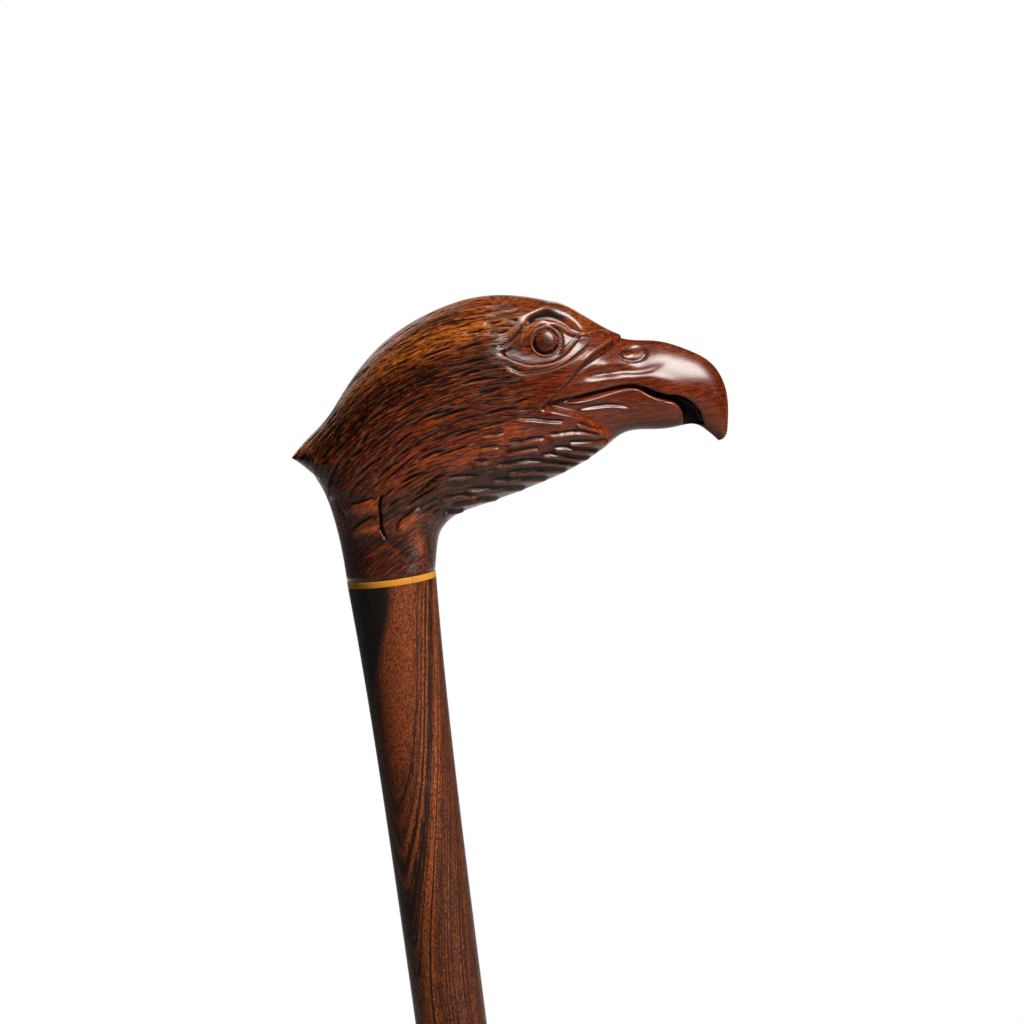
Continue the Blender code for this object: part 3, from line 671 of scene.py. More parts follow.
# Height, edge and run of a lip, or height and half width of a ridge, then the fades of its ends.
NECK_CUT_SIZES = (0.8, 0.3, 2.6, 0.35, 0.2)
NECK_CREASE_SIZES = (-1.1, 0.38, 0.15, 0.1)
NAPE_CREASE_SIZES = (0.8, 0.4, 3.0, 0.3, 0.2)
THROAT_CUT_SIZES = (-1.0, 0.27, 1.4, 0.12, 0.12)
# Dark lines: points, half width and strength. Most are the wood's own figure: they arch over
# the neck, run down its front, and follow the outer curve of the beak. Of the last four, those
# in the neck's crease and its front cut and the broad one under the brow are painted shade, and
# the broad one along the throat darkens it.
FIGURE_AND_SHADE_LINES = (
    (((-10.4, 3.0), (-9.7, 4.9), (-7.3, 7.6), (-4.4, 10.0), (-0.4, 11.1), (2.4, 10.6)), 0.9, 0.9),
    (((-1.4, 11.0), (2.5, 10.4), (4.7, 8.0), (6.3, 4.9), (7.6, 1.6)), 1.1, 0.8),
    (((-9.0, 14.0), (-6.4, 13.2), (-3.4, 12.2), (-0.6, 11.4)), 0.7, 0.6),
    (((-8.0, 2.2), (-5.6, 5.6), (-2.4, 7.7), (1.0, 7.6), (3.2, 5.0), (4.4, 1.8)), 0.5, 0.55),
    (((-5.2, 1.4), (-2.8, 3.9), (-0.2, 4.7), (1.9, 3.0), (2.6, 1.0)), 0.5, 0.5),
    (((13.4, 14.0), (12.3, 11.0), (11.8, 7.9), (12.0, 4.0), (12.2, 0.2)), 0.5, 0.9),
    (((15.6, 13.4), (14.2, 10.4), (13.6, 7.4), (13.4, 3.0)), 0.4, 0.8),
    (((95.3, 49.0), (98.2, 45.6), (99.8, 40.6), (100.2, 35.0), (99.6, 29.0)), 0.35, 0.6),
    (((96.7, 49.0), (99.4, 45.6), (100.8, 40.2), (101.0, 34.6)), 0.25, 0.6),
    (((93.0, 49.4), (96.6, 46.0), (98.5, 41.0), (99.1, 36.0), (98.7, 30.0)), 0.3, 0.45),
    # Painted shade in the neck's crease and its front cut, then a band that darkens the throat, then
    # painted shade under the brow.
    (NECK_CREASE, 0.4, 1.0),
    (((12.6, 18.4), (10.2, 18.7), (8.1, 17.9), (6.1, 16.6)), 0.4, 1.0),
    (((26.0, 21.0), (40.0, 25.5), (52.0, 29.5), (62.0, 31.5)), 3.2, 0.6),
    (((47.0, 66.6), (49.4, 68.4), (52.6, 69.0), (56.0, 68.4), (60.0, 66.0)), 0.9, 0.95),
)
# Patches where the wood of the neck turns orange, and one along the lower cheek.
BLUSH_LINES = (
    (((-9.0, 20.1), (-4.7, 20.5), (-0.4, 21.4)), 1.3, 0.95),
    (((-9.8, 12.6), (-5.1, 14.6), (-0.6, 14.4)), 1.3, 0.85),
    (((4.0, 13.3), (6.7, 15.2), (10.6, 16.8)), 1.3, 0.75),
    (((9.5, 12.6), (9.4, 7.4), (10.2, 3.6)), 1.1, 0.4),
    (((-4.8, 5.8), (-1.6, 8.7), (1.4, 8.5), (3.4, 5.6)), 1.2, 0.25),
    (((18.4, 27.2), (22.4, 30.0), (29.2, 32.7), (36.1, 35.4), (41.4, 37.6), (47.2, 38.2)), 2.6, 0.4),
)
NAPE_CREASE = (
    (-21.5, 38.3), (-18.9, 37.2), (-17.6, 36.1), (-17.7, 33.5), (-17.0, 31.0), (-15.6, 29.7),
)
FIGURE_FADES = (0.2, 0.2)  # shares of the length of such a line over which its ends fade
FACE_START, FACE_BLEND = 30, 10
OUTLINE_BLEND = 4.0
CROWN_CUTS = 0.35  # share of the cuts' depth that is left where the two sides meet
BEAK_BLEND = (0.5, 3.5)  # half width of the step round the beak, on the sides and where they meet
BEAK_STEP = 0.9  # the beak stands back from the skin that folds over it
HOLLOW_PASSES = 5
JAW_NARROWING = 0.14
JAW_WEB = 0.9  # half the wood that is left in the gap between jaw and hook


def drawn(points, spacing=0.5):
    """A smooth line through side-view points, with a point about every half millimetre."""
    points = np.array(points, float)
    length = np.concatenate([[0], np.cumsum(np.hypot(*np.diff(points, axis=0).T))])
    return natural_spline(length, points, np.linspace(0, length[-1], int(length[-1] / spacing) + 2))


def from_line(points, x, z, reach=8.0):
    """Distance to a smooth line, the same with a sign (plus on its left), share of its length.

    Places further than the reach from the line's box keep the reach as their distance.
    """
    line = drawn(points)
    low, high = line.min(0) - reach, line.max(0) + reach
    near = (x > low[0]) & (x < high[0]) & (z > low[1]) & (z < high[1])
    start, step = line[:-1], np.diff(line, axis=0)
    across_x, across_z = x[near][:, None] - start[:, 0], z[near][:, None] - start[:, 1]
    along = (across_x * step[:, 0] + across_z * step[:, 1]) / (step**2).sum(axis=1)
    along = np.clip(along, 0, 1)
    distance = np.hypot(across_x - along * step[:, 0], across_z - along * step[:, 1])
    nearest = distance.argmin(axis=1)[:, None]
    side = np.take_along_axis(step[:, 0] * across_z - step[:, 1] * across_x, nearest, 1)[:, 0]
    closest = np.take_along_axis(distance, nearest, 1)[:, 0]
    share = (nearest[:, 0] + np.take_along_axis(along, nearest, 1)[:, 0]) / len(step)
    full, signed, part = np.full(x.shape, reach), np.full(x.shape, reach), np.zeros(x.shape)
    full[near], signed[near], part[near] = closest, closest * np.sign(side), share
    return full, signed, part


def hump(distance, half_width):
    """1 on the line, falling smoothly to 0 past its half width: exp(-(d / w)^2)."""
    return np.exp(-((distance / half_width) ** 2))


def soft_step(value, half_width):
    """0 well below zero, 1 well above it: (1 + tanh(v / w)) / 2."""
    return 0.5 + 0.5 * np.tanh(value / half_width)


def ends_fade(share, start=0.12, stop=0.12):
    """0 at both ends of a line, 1 along its middle, rising as 3 r^2 - 2 r^3 over the shares."""
    rise = np.clip(share / max(start, 1e-6), 0, 1) * np.clip((1 - share) / max(stop, 1e-6), 0, 1)
    return rise * rise * (3 - 2 * rise)


def ridge(points, x, z, height, half_width, start=0.12, stop=0.12):
    """A rounded ridge along a line, or a groove where the height is below zero."""
    distance, _, share = from_line(points, x, z)
    return height * hump(distance, half_width) * ends_fade(share, start, stop)


def lip(points, x, z, height, edge, run, start=0.1, stop=0.1):
    """A fold whose free edge is the line: full height on its left, dying away over the run.

    Height times step(signed distance / edge) times exp(-distance / run), less a narrow cut just
    on the right of the edge. A height below zero puts the high side on the right.
    """
    _, signed, share = from_line(points, x, z)
    side = signed * np.sign(height)
    fade = ends_fade(share, start, stop)
    stand = abs(height) * soft_step(side, edge) * np.exp(-np.maximum(side, 0) / run)
    cut = 0.45 * abs(height) * hump(side + edge * 1.6, edge * 1.5)
    return (stand - cut) * fade


def cut(points, x, z, depth, half_width):
    """A cut of a parting tool along a line, below zero: easy on its left, steep on its right.

    Depth times sin(pi share)^0.6 times exp(-(d / w)^2), with w 1.3 of the half width on the
    left, where the tool leaned, and 0.7 of it on the right.
    """
    distance, signed, share = from_line(points, x, z, reach=3.0)
    width = half_width * np.where(signed > 0, 1.3, 0.7)
    return -depth * np.sin(math.pi * np.clip(share, 0, 1)) ** 0.6 * hump(distance, width)


def inside(corners, x, z):
    """True inside a closed outline: an odd number of its edges crosses the ray to the right."""
    corners = np.array(corners, float)
    odd = np.zeros(x.shape, bool)
    for (ax, az), (bx, bz) in zip(corners, np.roll(corners, -1, 0)):
        if az != bz:
            odd ^= ((az > z) != (bz > z)) & (x < (bx - ax) * (z - az) / (bz - az) + ax)
    return odd


def eye_relief(x, z):
    """The eyeball with its turned-looking rings, and the opening between the lids, in millimetres.

    The opening is sunk to a low dome, height (1 - (d / radius)^2), with the pupil in its middle,
    height sqrt(1 - (d / radius)^3.4). Round that run a groove and a bead, one more groove on the
    upper side, short radial marks on the lower side, and an arc behind.
    """
    from_eye = np.hypot(x - EYE[0], z - EYE[1])
    turn = np.arctan2(z - EYE[1], x - EYE[0])

    def circle(radius, half_width, height):
        return height * hump(from_eye - radius, half_width)

    opening = np.concatenate([drawn(LID_EDGE), drawn(LOWER_LID)[::-1]])
    edge = np.minimum(from_line(LID_EDGE, x, z)[0], from_line(LOWER_LID, x, z)[0])
    sunk = np.where(inside(opening, x, z), soft_step(edge - EYE_INSET, INSET_BLEND), 0)
    ground = EYE_GROUND[1] * np.clip(1 - (from_eye / EYE_GROUND[0]) ** 2, 0, 1)
    pupil = EYE_PUPIL[1] * np.sqrt(np.clip(1 - (from_eye / EYE_PUPIL[0]) ** 3.4, 0, 1))
    upper_side = soft_step(np.cos(turn - math.radians(45)) - 0.1, 0.25)
    lower_side = soft_step(np.cos(turn + math.radians(75)) + 0.15, 0.2)
    rings = circle(*EYE_GROOVE) + circle(*EYE_BEAD) + circle(*EYE_UPPER_GROOVE) * upper_side
    marks = circle(*EYE_MARKS) * np.cos(EYE_MARK_COUNT * turn) * lower_side
    behind = hump(turn - math.radians(176), 0.3) + hump(turn + math.radians(184), 0.3)
    return sunk * (ground - EYE_SINK) + pupil + rings + marks + circle(*EYE_ARC) * behind


# The lines of the face: how each is cut, its sizes as that function takes them, and its points.
FACE_LINES = (
    (ridge, (0.8, 0.9, 0.35, 0.45), (  # rim of the brow
        (47.6, 67.9), (50.7, 69.5), (52.8, 70.0), (55.4, 69.9), (57.8, 69.2), (60.1, 67.9),
        (62.3, 66.4), (64.8, 64.9), (67.9, 63.5),
    )),
    (ridge, (-1.8, 0.85, 0.25, 0.25), (  # hollow under the rim
        (46.4, 65.9), (48.0, 67.2), (50.3, 68.1), (52.9, 68.4), (55.2, 67.9), (57.5, 66.8),
        (59.7, 65.2), (61.9, 63.2), (63.6, 61.8),
    )),
    (ridge, (-0.7, 0.35, 0.15, 0.15), (  # crease above the lid
        (38.6, 60.7), (40.4, 61.6), (43.1, 63.5), (45.9, 65.8), (48.4, 67.2),
    )),
    (ridge, (0.35, 0.25, 0.1, 0.4), (  # tail of the lid
        (38.4, 59.9), (39.9, 60.8), (41.8, 61.7), (43.7, 62.6), (45.4, 63.8), (47.0, 65.2),
    )),
    (ridge, (0.5, 0.28, 0.25, 0.05), (  # upper lid
        (47.6, 65.6), (49.2, 66.8), (50.8, 67.3), (52.4, 67.3), (54.1, 66.9), (56.3, 65.9),
        (59.1, 64.3), (61.4, 62.7), (64.0, 61.2),
    )),
    (ridge, (0.45, 0.28, 0.5, 0.05), LID_EDGE),
    (lip, (-0.65, 0.28, 0.9, 0.1, 0.1), LOWER_LID),
    (ridge, (0.5, 0.35, 0.3, 0.02), (  # front corner of the lids
        (55.5, 56.6), (57.2, 57.9), (59.8, 60.0), (61.4, 61.1), (63.8, 61.3),
    )),
    (lip, (-0.7, 0.3, 1.3, 0.06, 0.2), (  # second fold under the eye
        (39.6, 55.6), (41.9, 53.8), (44.2, 52.7), (46.7, 52.5), (51.8, 52.7), (57.0, 54.2),
        (61.7, 56.7), (64.9, 59.1), (66.4, 61.1),
    )),
    (ridge, (0.5, 0.3, 0.2, 0.1), (  # loop in front of the eye
        (63.6, 61.2), (65.2, 61.6), (67.5, 61.3), (70.6, 59.7),
    )),
    (lip, (1.0, 0.35, 1.6, 0.5, 0.08), (  # third fold
        (55.6, 50.4), (58.9, 52.0), (62.2, 54.1), (65.6, 56.0), (68.4, 57.2), (71.3, 58.6),
    )),
    (lip, (0.5, 0.3, 2.0, 0.06, 0.1), CERE_FOLD),
    (ridge, (-0.8, 0.32, 0.001, 0.001), (  # rim of the nostril
        (72.3, 54.1), (74.6, 55.4), (77.1, 55.9), (79.0, 55.5), (80.0, 54.7), (79.5, 53.4),
        (78.2, 52.4), (76.0, 52.1), (73.7, 52.8), (72.3, 54.1),
    )),
    (ridge, (0.45, 0.32, 0.3, 0.3), (  # leaf in the nostril
        (74.4, 53.9), (76.3, 53.8), (78.1, 54.5),
    )),
    (ridge, (-0.3, 0.9, 0.3, 0.3), (  # crease of the cheek
        (70.1, 51.1), (73.7, 49.4), (79.4, 49.0), (85.8, 50.9),
    )),
    (ridge, (0.6, 2.4, 0.4, 0.4), (  # shoulder of the beak
        (63.0, 50.9), (66.5, 51.8), (70.5, 52.3), (75.0, 52.4), (79.0, 51.6),
    )),
    (ridge, (-0.6, 1.2, 0.4, 0.4), (  # valley under it
        (60.9, 49.2), (65.2, 49.7), (69.9, 49.7), (74.6, 49.1),
    )),
    (ridge, (0.35, 1.3, 0.4, 0.4), (  # cutting edge of the beak
        (52.9, 46.3), (59.2, 47.2), (67.3, 47.8), (76.8, 47.5), (83.7, 45.9), (89.5, 42.7),
    )),
    (ridge, (-2.3, 0.6, 0.25, 0.02), MOUTH),
    (ridge, (0.6, 0.4, 0.2, 0.1), (  # rim of the jaw
        (52.8, 43.3), (57.2, 42.4), (61.9, 42.4), (66.8, 43.1), (74.0, 43.9), (76.8, 43.2),
        (80.7, 40.3), (85.3, 39.1),
    )),
    (cut, (0.8, 0.6), (  # groove of the jaw
        (58.4, 40.3), (61.5, 40.4), (64.5, 40.3), (67.6, 40.2), (71.1, 39.4), (73.8, 38.6),
    )),
    (lip, (-0.8, 0.4, 3.0, 0.08, 0.6), JAW_FOLD),
)


def face_relief(x, z):
    """How far the carving of the face stands out of the uncarved head, in millimetres."""
    half_length, half_height, depth = SOCKET
    lengthwise, upright = (x - EYE[0]) / half_length, (z - EYE[1]) / half_height
    out = EYE_TILT * (z - EYE[1]) + EYE_TURN * (x - EYE[0]) - depth
    out = out * np.exp(-(lengthwise**2 + upright**2) ** 2) + eye_relief(x, z)
    for shape, sizes, line in FACE_LINES:
        out += shape(line, x, z, *sizes)
    return out


def beak_share(x, z, blend):
    """1 on the beak and the jaw, ahead of the cere's fold and of the fold below the jaw."""
    ahead_of_cere = soft_step(-from_line(CERE_FOLD, x, z, reach=60.0)[1], 0.5)
    return ahead_of_cere * soft_step(from_line(JAW_FOLD, x, z, reach=60.0)[1], blend)


def jaw_and_gap(x, z, blend):
    """Shares by which the half width shrinks: the lower jaw, and the gap in front of it."""
    below_mouth = soft_step(-from_line(MOUTH, x, z, reach=30.0)[1], 0.5)
    ahead_of_fold = soft_step(from_line(JAW_FOLD, x, z, reach=40.0)[1], 0.3 + blend)
    corners = (*JAW_GAP, JAW_GAP[0])
    edge = np.minimum.reduce([
        from_line(corners[i : i + 2], x, z, reach=4.0)[0] for i in range(len(JAW_GAP))
    ])
    deep = np.where(inside(JAW_GAP, x, z), edge, -edge)
    gap = soft_step(deep - GAP_INSET, INSET_BLEND)
    return JAW_NARROWING * below_mouth * ahead_of_fold, gap


# The feathers are cuts of a parting tool that follow the way they lie. Each entry is a place in
# side view and the angle there, in degrees up from the way the beak points.
FEATHER_LIE = (
    (-18, 38, 28), (-13, 30, 52), (-4, 50, 30), (8, 62, 20), (27, 69, 5), (42, 72, -12),
    (31, 58, 6), (20, 48, 10), (38, 48, 11), (-2, 36, 34), (9, 33, 33), (22, 34, 12),
    (12, 22, 26), (32, 24, -4), (44, 32, -2), (56, 32, -6),
)
LIE_BLEND = 3.0  # millimetres round each such place within which its own angle holds
# Where no cut is spread: the face, the neck and the throat.
FACE_OUTLINE = (
    (50, 90), (49, 74), (44.5, 68), (40, 63.5), (36.5, 60), (36.5, 57), (39.5, 53), (45, 50.4),
    (50, 50), (46.8, 44.5), (47, 42), (55, 38.9), (60.4, 35.9), (64.5, 32), (67.5, 28), (71, 20),
    (130, 20), (130, 90),
)
NECK_OUTLINE = (
    (-40, 26), (-16, 27.5), (-11, 24), (-5, 23.5), (0, 23), (5, 18), (10, 17), (15, 16.5),
    (19, 15.5), (24, 10), (60, -5), (-40, -5),
)
THROAT_LESS_SHADE = 0.3  # share by which the hollows' dark polish and painted shade are lessened on the throat
THROAT_OUTLINE = ((16, 14), (16, 27), (22, 33), (34, 38), (46, 42), (76, 42), (76, 8))
THROAT_CUTS = (
    ((41.0, 40.2), (44.5, 39.7), (49.0, 38.6), (54.3, 37.7)), ((57.2, 36.9), (60.6, 35.4), (64.8, 33.6)),
    ((48.5, 34.5), (52.9, 34.4), (56.8, 34.3), (60.0, 33.7), (64.0, 32.5)),
    ((54.0, 31.6), (57.9, 31.2), (66.4, 30.4)), ((49.5, 30.6), (52.7, 30.3), (57.0, 29.2), (63.4, 27.9)),
    ((45.7, 29.1), (48.6, 28.9), (52.5, 28.0), (56.0, 27.0), (61.1, 26.3)),
    ((32.2, 28.2), (36.5, 27.9), (40.2, 28.1), (43.7, 27.8), (49.4, 26.7), (57.9, 24.9)),
    ((35.5, 25.4), (39.8, 25.3), (44.9, 25.0), (48.5, 24.5), (54.1, 23.8)),
    ((31.0, 23.8), (34.6, 23.5), (38.9, 23.2), (48.3, 22.1)),
    ((23.9, 22.4), (26.4, 21.9), (30.7, 21.4), (34.3, 21.1), (41.9, 20.1)),
    ((16.8, 20.6), (19.7, 20.6), (22.6, 20.5), (27.6, 20.4)),
    ((19.4, 18.2), (23.1, 18.6), (26.7, 18.8), (34.0, 17.8)), ((17.0, 16.6), (19.5, 16.3), (23.1, 16.6)),
    ((37.3, 33.8), (41.6, 33.7), (43.8, 33.9), (48.5, 33.8)), ((36.2, 31.0), (39.8, 31.2), (46.7, 31.3)),
    ((29.3, 33.2), (32.2, 33.4), (35.4, 33.2)), ((27.4, 29.8), (31.7, 29.6)), ((30.5, 36.9), (37.0, 36.9)),
)
SIDE_CUTS = (
    ((36.3, 72.0), (40.8, 71.9), (45.7, 71.6)), ((36.5, 69.6), (41.5, 69.9), (46.3, 70.3)),
    ((35.6, 67.6), (40.6, 68.1)), ((36.2, 65.1), (42.0, 65.3)), ((29.6, 66.0), (33.9, 66.3), (35.8, 66.8)),
    ((25.0, 60.9), (30.4, 62.4), (35.0, 62.9)), ((26.7, 57.6), (30.1, 58.1), (33.8, 58.4)),
    ((25.6, 53.9), (30.3, 55.1), (34.1, 55.8)), ((26.3, 52.0), (32.6, 52.8), (37.6, 52.6)),
    ((30.0, 48.6), (34.1, 49.3), (38.4, 49.6)), ((31.1, 42.5), (36.7, 43.4), (42.1, 43.7)),
    ((16.1, 60.4), (21.3, 62.0), (26.2, 62.9)), ((17.6, 43.2), (23.2, 44.5), (27.7, 45.3)),
    ((10.6, 42.0), (14.9, 43.9), (21.0, 46.2)), ((22.2, 37.5), (26.5, 38.6), (30.6, 39.1)),
    ((12.0, 32.2), (15.6, 33.5), (20.5, 34.6)), ((5.1, 36.5), (9.5, 39.4), (11.8, 40.8)),
    ((-2.9, 38.8), (-0.4, 42.2)), ((-6.1, 35.7), (-3.0, 37.8)), ((9.6, 22.0), (14.5, 25.3), (19.7, 28.4)),
    ((5.7, 26.1), (10.8, 28.2), (16.0, 28.6)), ((19.1, 26.4), (23.5, 26.3), (28.9, 25.6)),
    ((-6.2, 29.5), (-1.3, 32.8), (2.1, 34.8)), ((-0.2, 28.2), (4.4, 31.8), (6.7, 33.3)),
)
SIDE_CUT_SIZES = (1.0, 0.45)  # depth and half width
STROKE_SPACING = 0.25  # between the sampled points of a cut
CUT_LENGTH = (6.0, 20.0)
CUT_HALF_WIDTH = (0.27, 0.4)
CUT_DEPTH = (0.4, 0.95)
CUT_TURN = 0.16  # radians, the spread of a cut's turn away from the lie
CUTS_TRIED, CUT_SEED = 7000, 11
CUT_APART = (9.0, 2.2)  # least distance between two cuts' middles: along the lie and across it
CUT_FREE = 0.03  # a spread cut starts only where the drawn ones are shallower than this
CUT_ROWS, CUT_COLUMNS = 3, 6  # how far a cut reaches over the grid, to each side
CUT_WALLS = (1.25, 0.75)  # shares of its half width above it and below it


def lie_of_feathers(x, z):
    """Angle of the lie in radians: the given angles' mean by 1 / (distance^2 + blend^2)^1.5."""
    places = np.array(FEATHER_LIE, float)
    square = (x[..., None] - places[:, 0]) ** 2 + (z[..., None] - places[:, 1]) ** 2
    weight = 1 / (square + LIE_BLEND**2) ** 1.5
    return np.radians((weight * places[:, 2]).sum(-1) / weight.sum(-1))


def read_grid(values, row, column):
    """Values of a grid at fractional rows and columns, by straight mixing of the four corners."""
    i = np.clip(np.floor(row).astype(int), 0, values.shape[0] - 2)
    j = np.floor(column).astype(int)
    a, b = (row - i)[:, None], (column - j)[:, None]
    j0, j1 = j % values.shape[1], (j + 1) % values.shape[1]
    low = values[i, j0] * (1 - b) + values[i, j1] * b
    high = values[i + 1, j0] * (1 - b) + values[i + 1, j1] * b
    return low * (1 - a) + high * a


def uncut(x, z):
    """True on the face, the neck and the throat, which have only the listed lines."""
    return inside(FACE_OUTLINE, x, z) | inside(NECK_OUTLINE, x, z) | inside(THROAT_OUTLINE, x, z)


def forward_along(lie):
    """The direction of the lie, as a unit vector in side view."""
    return np.stack([np.cos(lie), 0 * lie, np.sin(lie)], axis=1)


def choose_cuts(grid, normal, taken, maker):
    """Rows and columns of the cuts' middles: random places, kept where no earlier one is near."""
    along, across = np.gradient(grid, axis=0), np.roll(grid, -1, 1) - grid
    area = np.linalg.norm(np.cross(along, across), axis=-1)
    x, z = grid[..., 0], grid[..., 2]
    plain = ~uncut(x, z) & (taken < CUT_FREE)
    chance = (area * plain).ravel()
    tried = maker.choice(chance.size, CUTS_TRIED, p=chance / chance.sum())
    row, column = np.divmod(tried, grid.shape[1])
    places, lie = grid[row, column], lie_of_feathers(x[row, column], z[row, column])
    forward = forward_along(lie)
    forward -= (forward * normal[row, column]).sum(1, keepdims=True) * normal[row, column]
    forward /= np.maximum(np.linalg.norm(forward, axis=1, keepdims=True), 1e-6)
    kept = []
    for i in range(CUTS_TRIED):
        gap = places[kept] - places[i]
        run = gap @ forward[i]
        aside = np.sqrt(np.maximum((gap**2).sum(1) - run**2, 0))
        if not ((run / CUT_APART[0]) ** 2 + (aside / CUT_APART[1]) ** 2 < 1).any():
            kept.append(i)
    return row[kept].astype(float), column[kept].astype(float)


def between(limits, share):
    """From the first limit to the second as the share goes from 0 to 1."""
    return limits[0] + (limits[1] - limits[0]) * share


def cut_feathers(grid, normal):
    """Depth at each grid point of the feather cuts on the crown, the nape and the sides.

    Those of SIDE_CUTS are drawn, and others are spread between them. From its middle
    each of these steps forwards and backwards over the surface along the lie. Its depth is
    D sin(pi s)^0.7 exp(-(d / w)^2), with s its share of the length and d the distance to its
    nearest sampled point. Its lower wall is steeper. Where cuts cross, the deeper one counts.
    """
    depth = np.zeros(grid.shape[:2])
    for line in SIDE_CUTS:
        depth = np.maximum(depth, -cut(line, grid[..., 0], grid[..., 2], *SIDE_CUT_SIZES))
    maker = np.random.default_rng(CUT_SEED)
    along = np.gradient(grid, axis=0)
    across = (np.roll(grid, -1, 1) - np.roll(grid, 1, 1)) / 2
    row, column = choose_cuts(grid, normal, depth, maker)
    count = len(row)
    size = maker.random((4, count))
    length = between(CUT_LENGTH, size[0] ** 1.6)
    width = between(CUT_HALF_WIDTH, size[1])
    deep = between(CUT_DEPTH, size[2] ** 2.5)
    turn = (size[3] - 0.5) * CUT_TURN
    steps = int(CUT_LENGTH[1] / 2 / STROKE_SPACING)
    samples = []
    for way in (1, -1):
        r, c, going = row.copy(), column.copy(), np.ones(count, bool)
        for step in range(steps):
            here = read_grid(grid, r, c)
            if step or way > 0:
                samples.append((r.copy(), c.copy(), way * step * STROKE_SPACING, going.copy()))
            lie = lie_of_feathers(here[:, 0], here[:, 2]) + turn
            forward = forward_along(lie)
            u, v = read_grid(along, r, c), read_grid(across, r, c)
            uu, uv, vv = (u * u).sum(1), (u * v).sum(1), (v * v).sum(1)
            fu, fv = (forward * u).sum(1), (forward * v).sum(1)
            least = np.maximum(uu * vv - uv**2, 1e-9)
            dr, dc = (fu * vv - fv * uv) / least, (fv * uu - fu * uv) / least
            moved = np.linalg.norm(dr[:, None] * u + dc[:, None] * v, axis=1)
            scale = way * STROKE_SPACING / np.maximum(moved, 1e-6)
            r, c = np.clip(r + dr * scale, 1, grid.shape[0] - 2), c + dc * scale
            x, z = read_grid(grid, r, c)[:, [0, 2]].T
            going &= ~uncut(x, z)
    rows, columns = np.mgrid[-CUT_ROWS : CUT_ROWS + 1, -CUT_COLUMNS : CUT_COLUMNS + 1]
    for r, c, place, going in samples:
        share = place / length + 0.5
        live = going & (share > 0) & (share < 1)
        if not live.any():
            continue
        here = read_grid(grid, r[live], c[live])
        i = np.round(r[live]).astype(int)[:, None] + rows.ravel()
        j = (np.round(c[live]).astype(int)[:, None] + columns.ravel()) % grid.shape[1]
        i = np.clip(i, 0, grid.shape[0] - 1)
        aside = grid[i, j] - here[:, None]
        distance = np.linalg.norm(aside, axis=-1)
        swell = np.sin(math.pi * share[live])[:, None] ** 0.7
        wall = np.where(aside[..., 2] > 0, *CUT_WALLS) * width[live][:, None]
        bell = np.exp(-((distance / (wall * (0.6 + 0.4 * swell))) ** 2))
        np.maximum.at(depth, (i, j), deep[live][:, None] * swell * bell)
    return depth


def hollows(relief):
    """How far each point lies below the relief round it, in millimetres.

    The relief round it is the mean over a point and its four neighbours, taken several times.
    """
    mean = relief
    for _ in range(HOLLOW_PASSES):
        rows = np.concatenate([mean[:1], mean, mean[-1:]])
        mean = (mean + rows[2:] + rows[:-2] + np.roll(mean, 1, 1) + np.roll(mean, -1, 1)) / 5
    return mean - relief


def carved_head(places, around):
    """The carved head in millimetres, and what its wood reads at each point.

    The relief and the cuts are pushed out along the normals. The face's lines die away where
    the two sides of the head meet, so that its outline stays smooth. The wood reads how deep in
    a hollow a point is, which darkens it as dark polish and painted shade, with the jaw's gap
    painted black as shade and the eyeball darkened. It also reads its share on the smooth beak,
    and the shares of the dark lines, most of them grain and some painted shade, and of the
    orange blush.
    """
    grid = head_grid(places, around)
    normal = normals_of(grid)
    x, z = grid[..., 0], grid[..., 2]
    faded = np.clip((x - FACE_START) / FACE_BLEND, 0, 1)
    off_middle = 1 - np.exp(-((grid[..., 1] / OUTLINE_BLEND) ** 2))
    relief = face_relief(x, z) * faded * off_middle
    for line in NECK_CUTS:
        relief += lip(line, x, z, *NECK_CUT_SIZES)
    relief += ridge(NECK_CREASE, x, z, *NECK_CREASE_SIZES)
    for line in THROAT_CUTS:
        relief += lip(line, x, z, *THROAT_CUT_SIZES) * off_middle
    relief += lip(NAPE_CREASE, x, z, *NAPE_CREASE_SIZES)
    relief -= cut_feathers(grid, normal) * (CROWN_CUTS + (1 - CROWN_CUTS) * off_middle)
    blend = between(BEAK_BLEND, 1 - off_middle)
    beak = beak_share(x, z, blend) * faded
    carved = grid + normal * (relief - BEAK_STEP * beak)[..., None]
    jaw, gap = jaw_and_gap(x, z, blend)
    side = carved[..., 1] * (1 - jaw)
    thin = np.clip(side, -JAW_WEB, JAW_WEB)
    carved[..., 1] = side + (thin - side) * gap
    # The hollow value darkens the wood: the cuts and hollows as dark polish and painted shade, the jaw's
    # gap black as painted shade, and the eyeball darker. The throat gets less of it.
    eye_darkening = EYE_DARKENING * soft_step(EYE_RADIUS - np.hypot(x - EYE[0], z - EYE[1]), 0.25)
    shade_kept = 1 - THROAT_LESS_SHADE * inside(THROAT_OUTLINE, x, z)
    values = {"hollow": hollows(relief) * shade_kept + gap + eye_darkening, "polish": beak}
    for name, lines in (("figure_and_shade", FIGURE_AND_SHADE_LINES), ("blush", BLUSH_LINES)):
        drawn_in = [ridge(line, x, z, strength, width, *FIGURE_FADES) for line, width, strength in lines]
        values[name] = np.max(drawn_in, axis=0)
    return carved, values


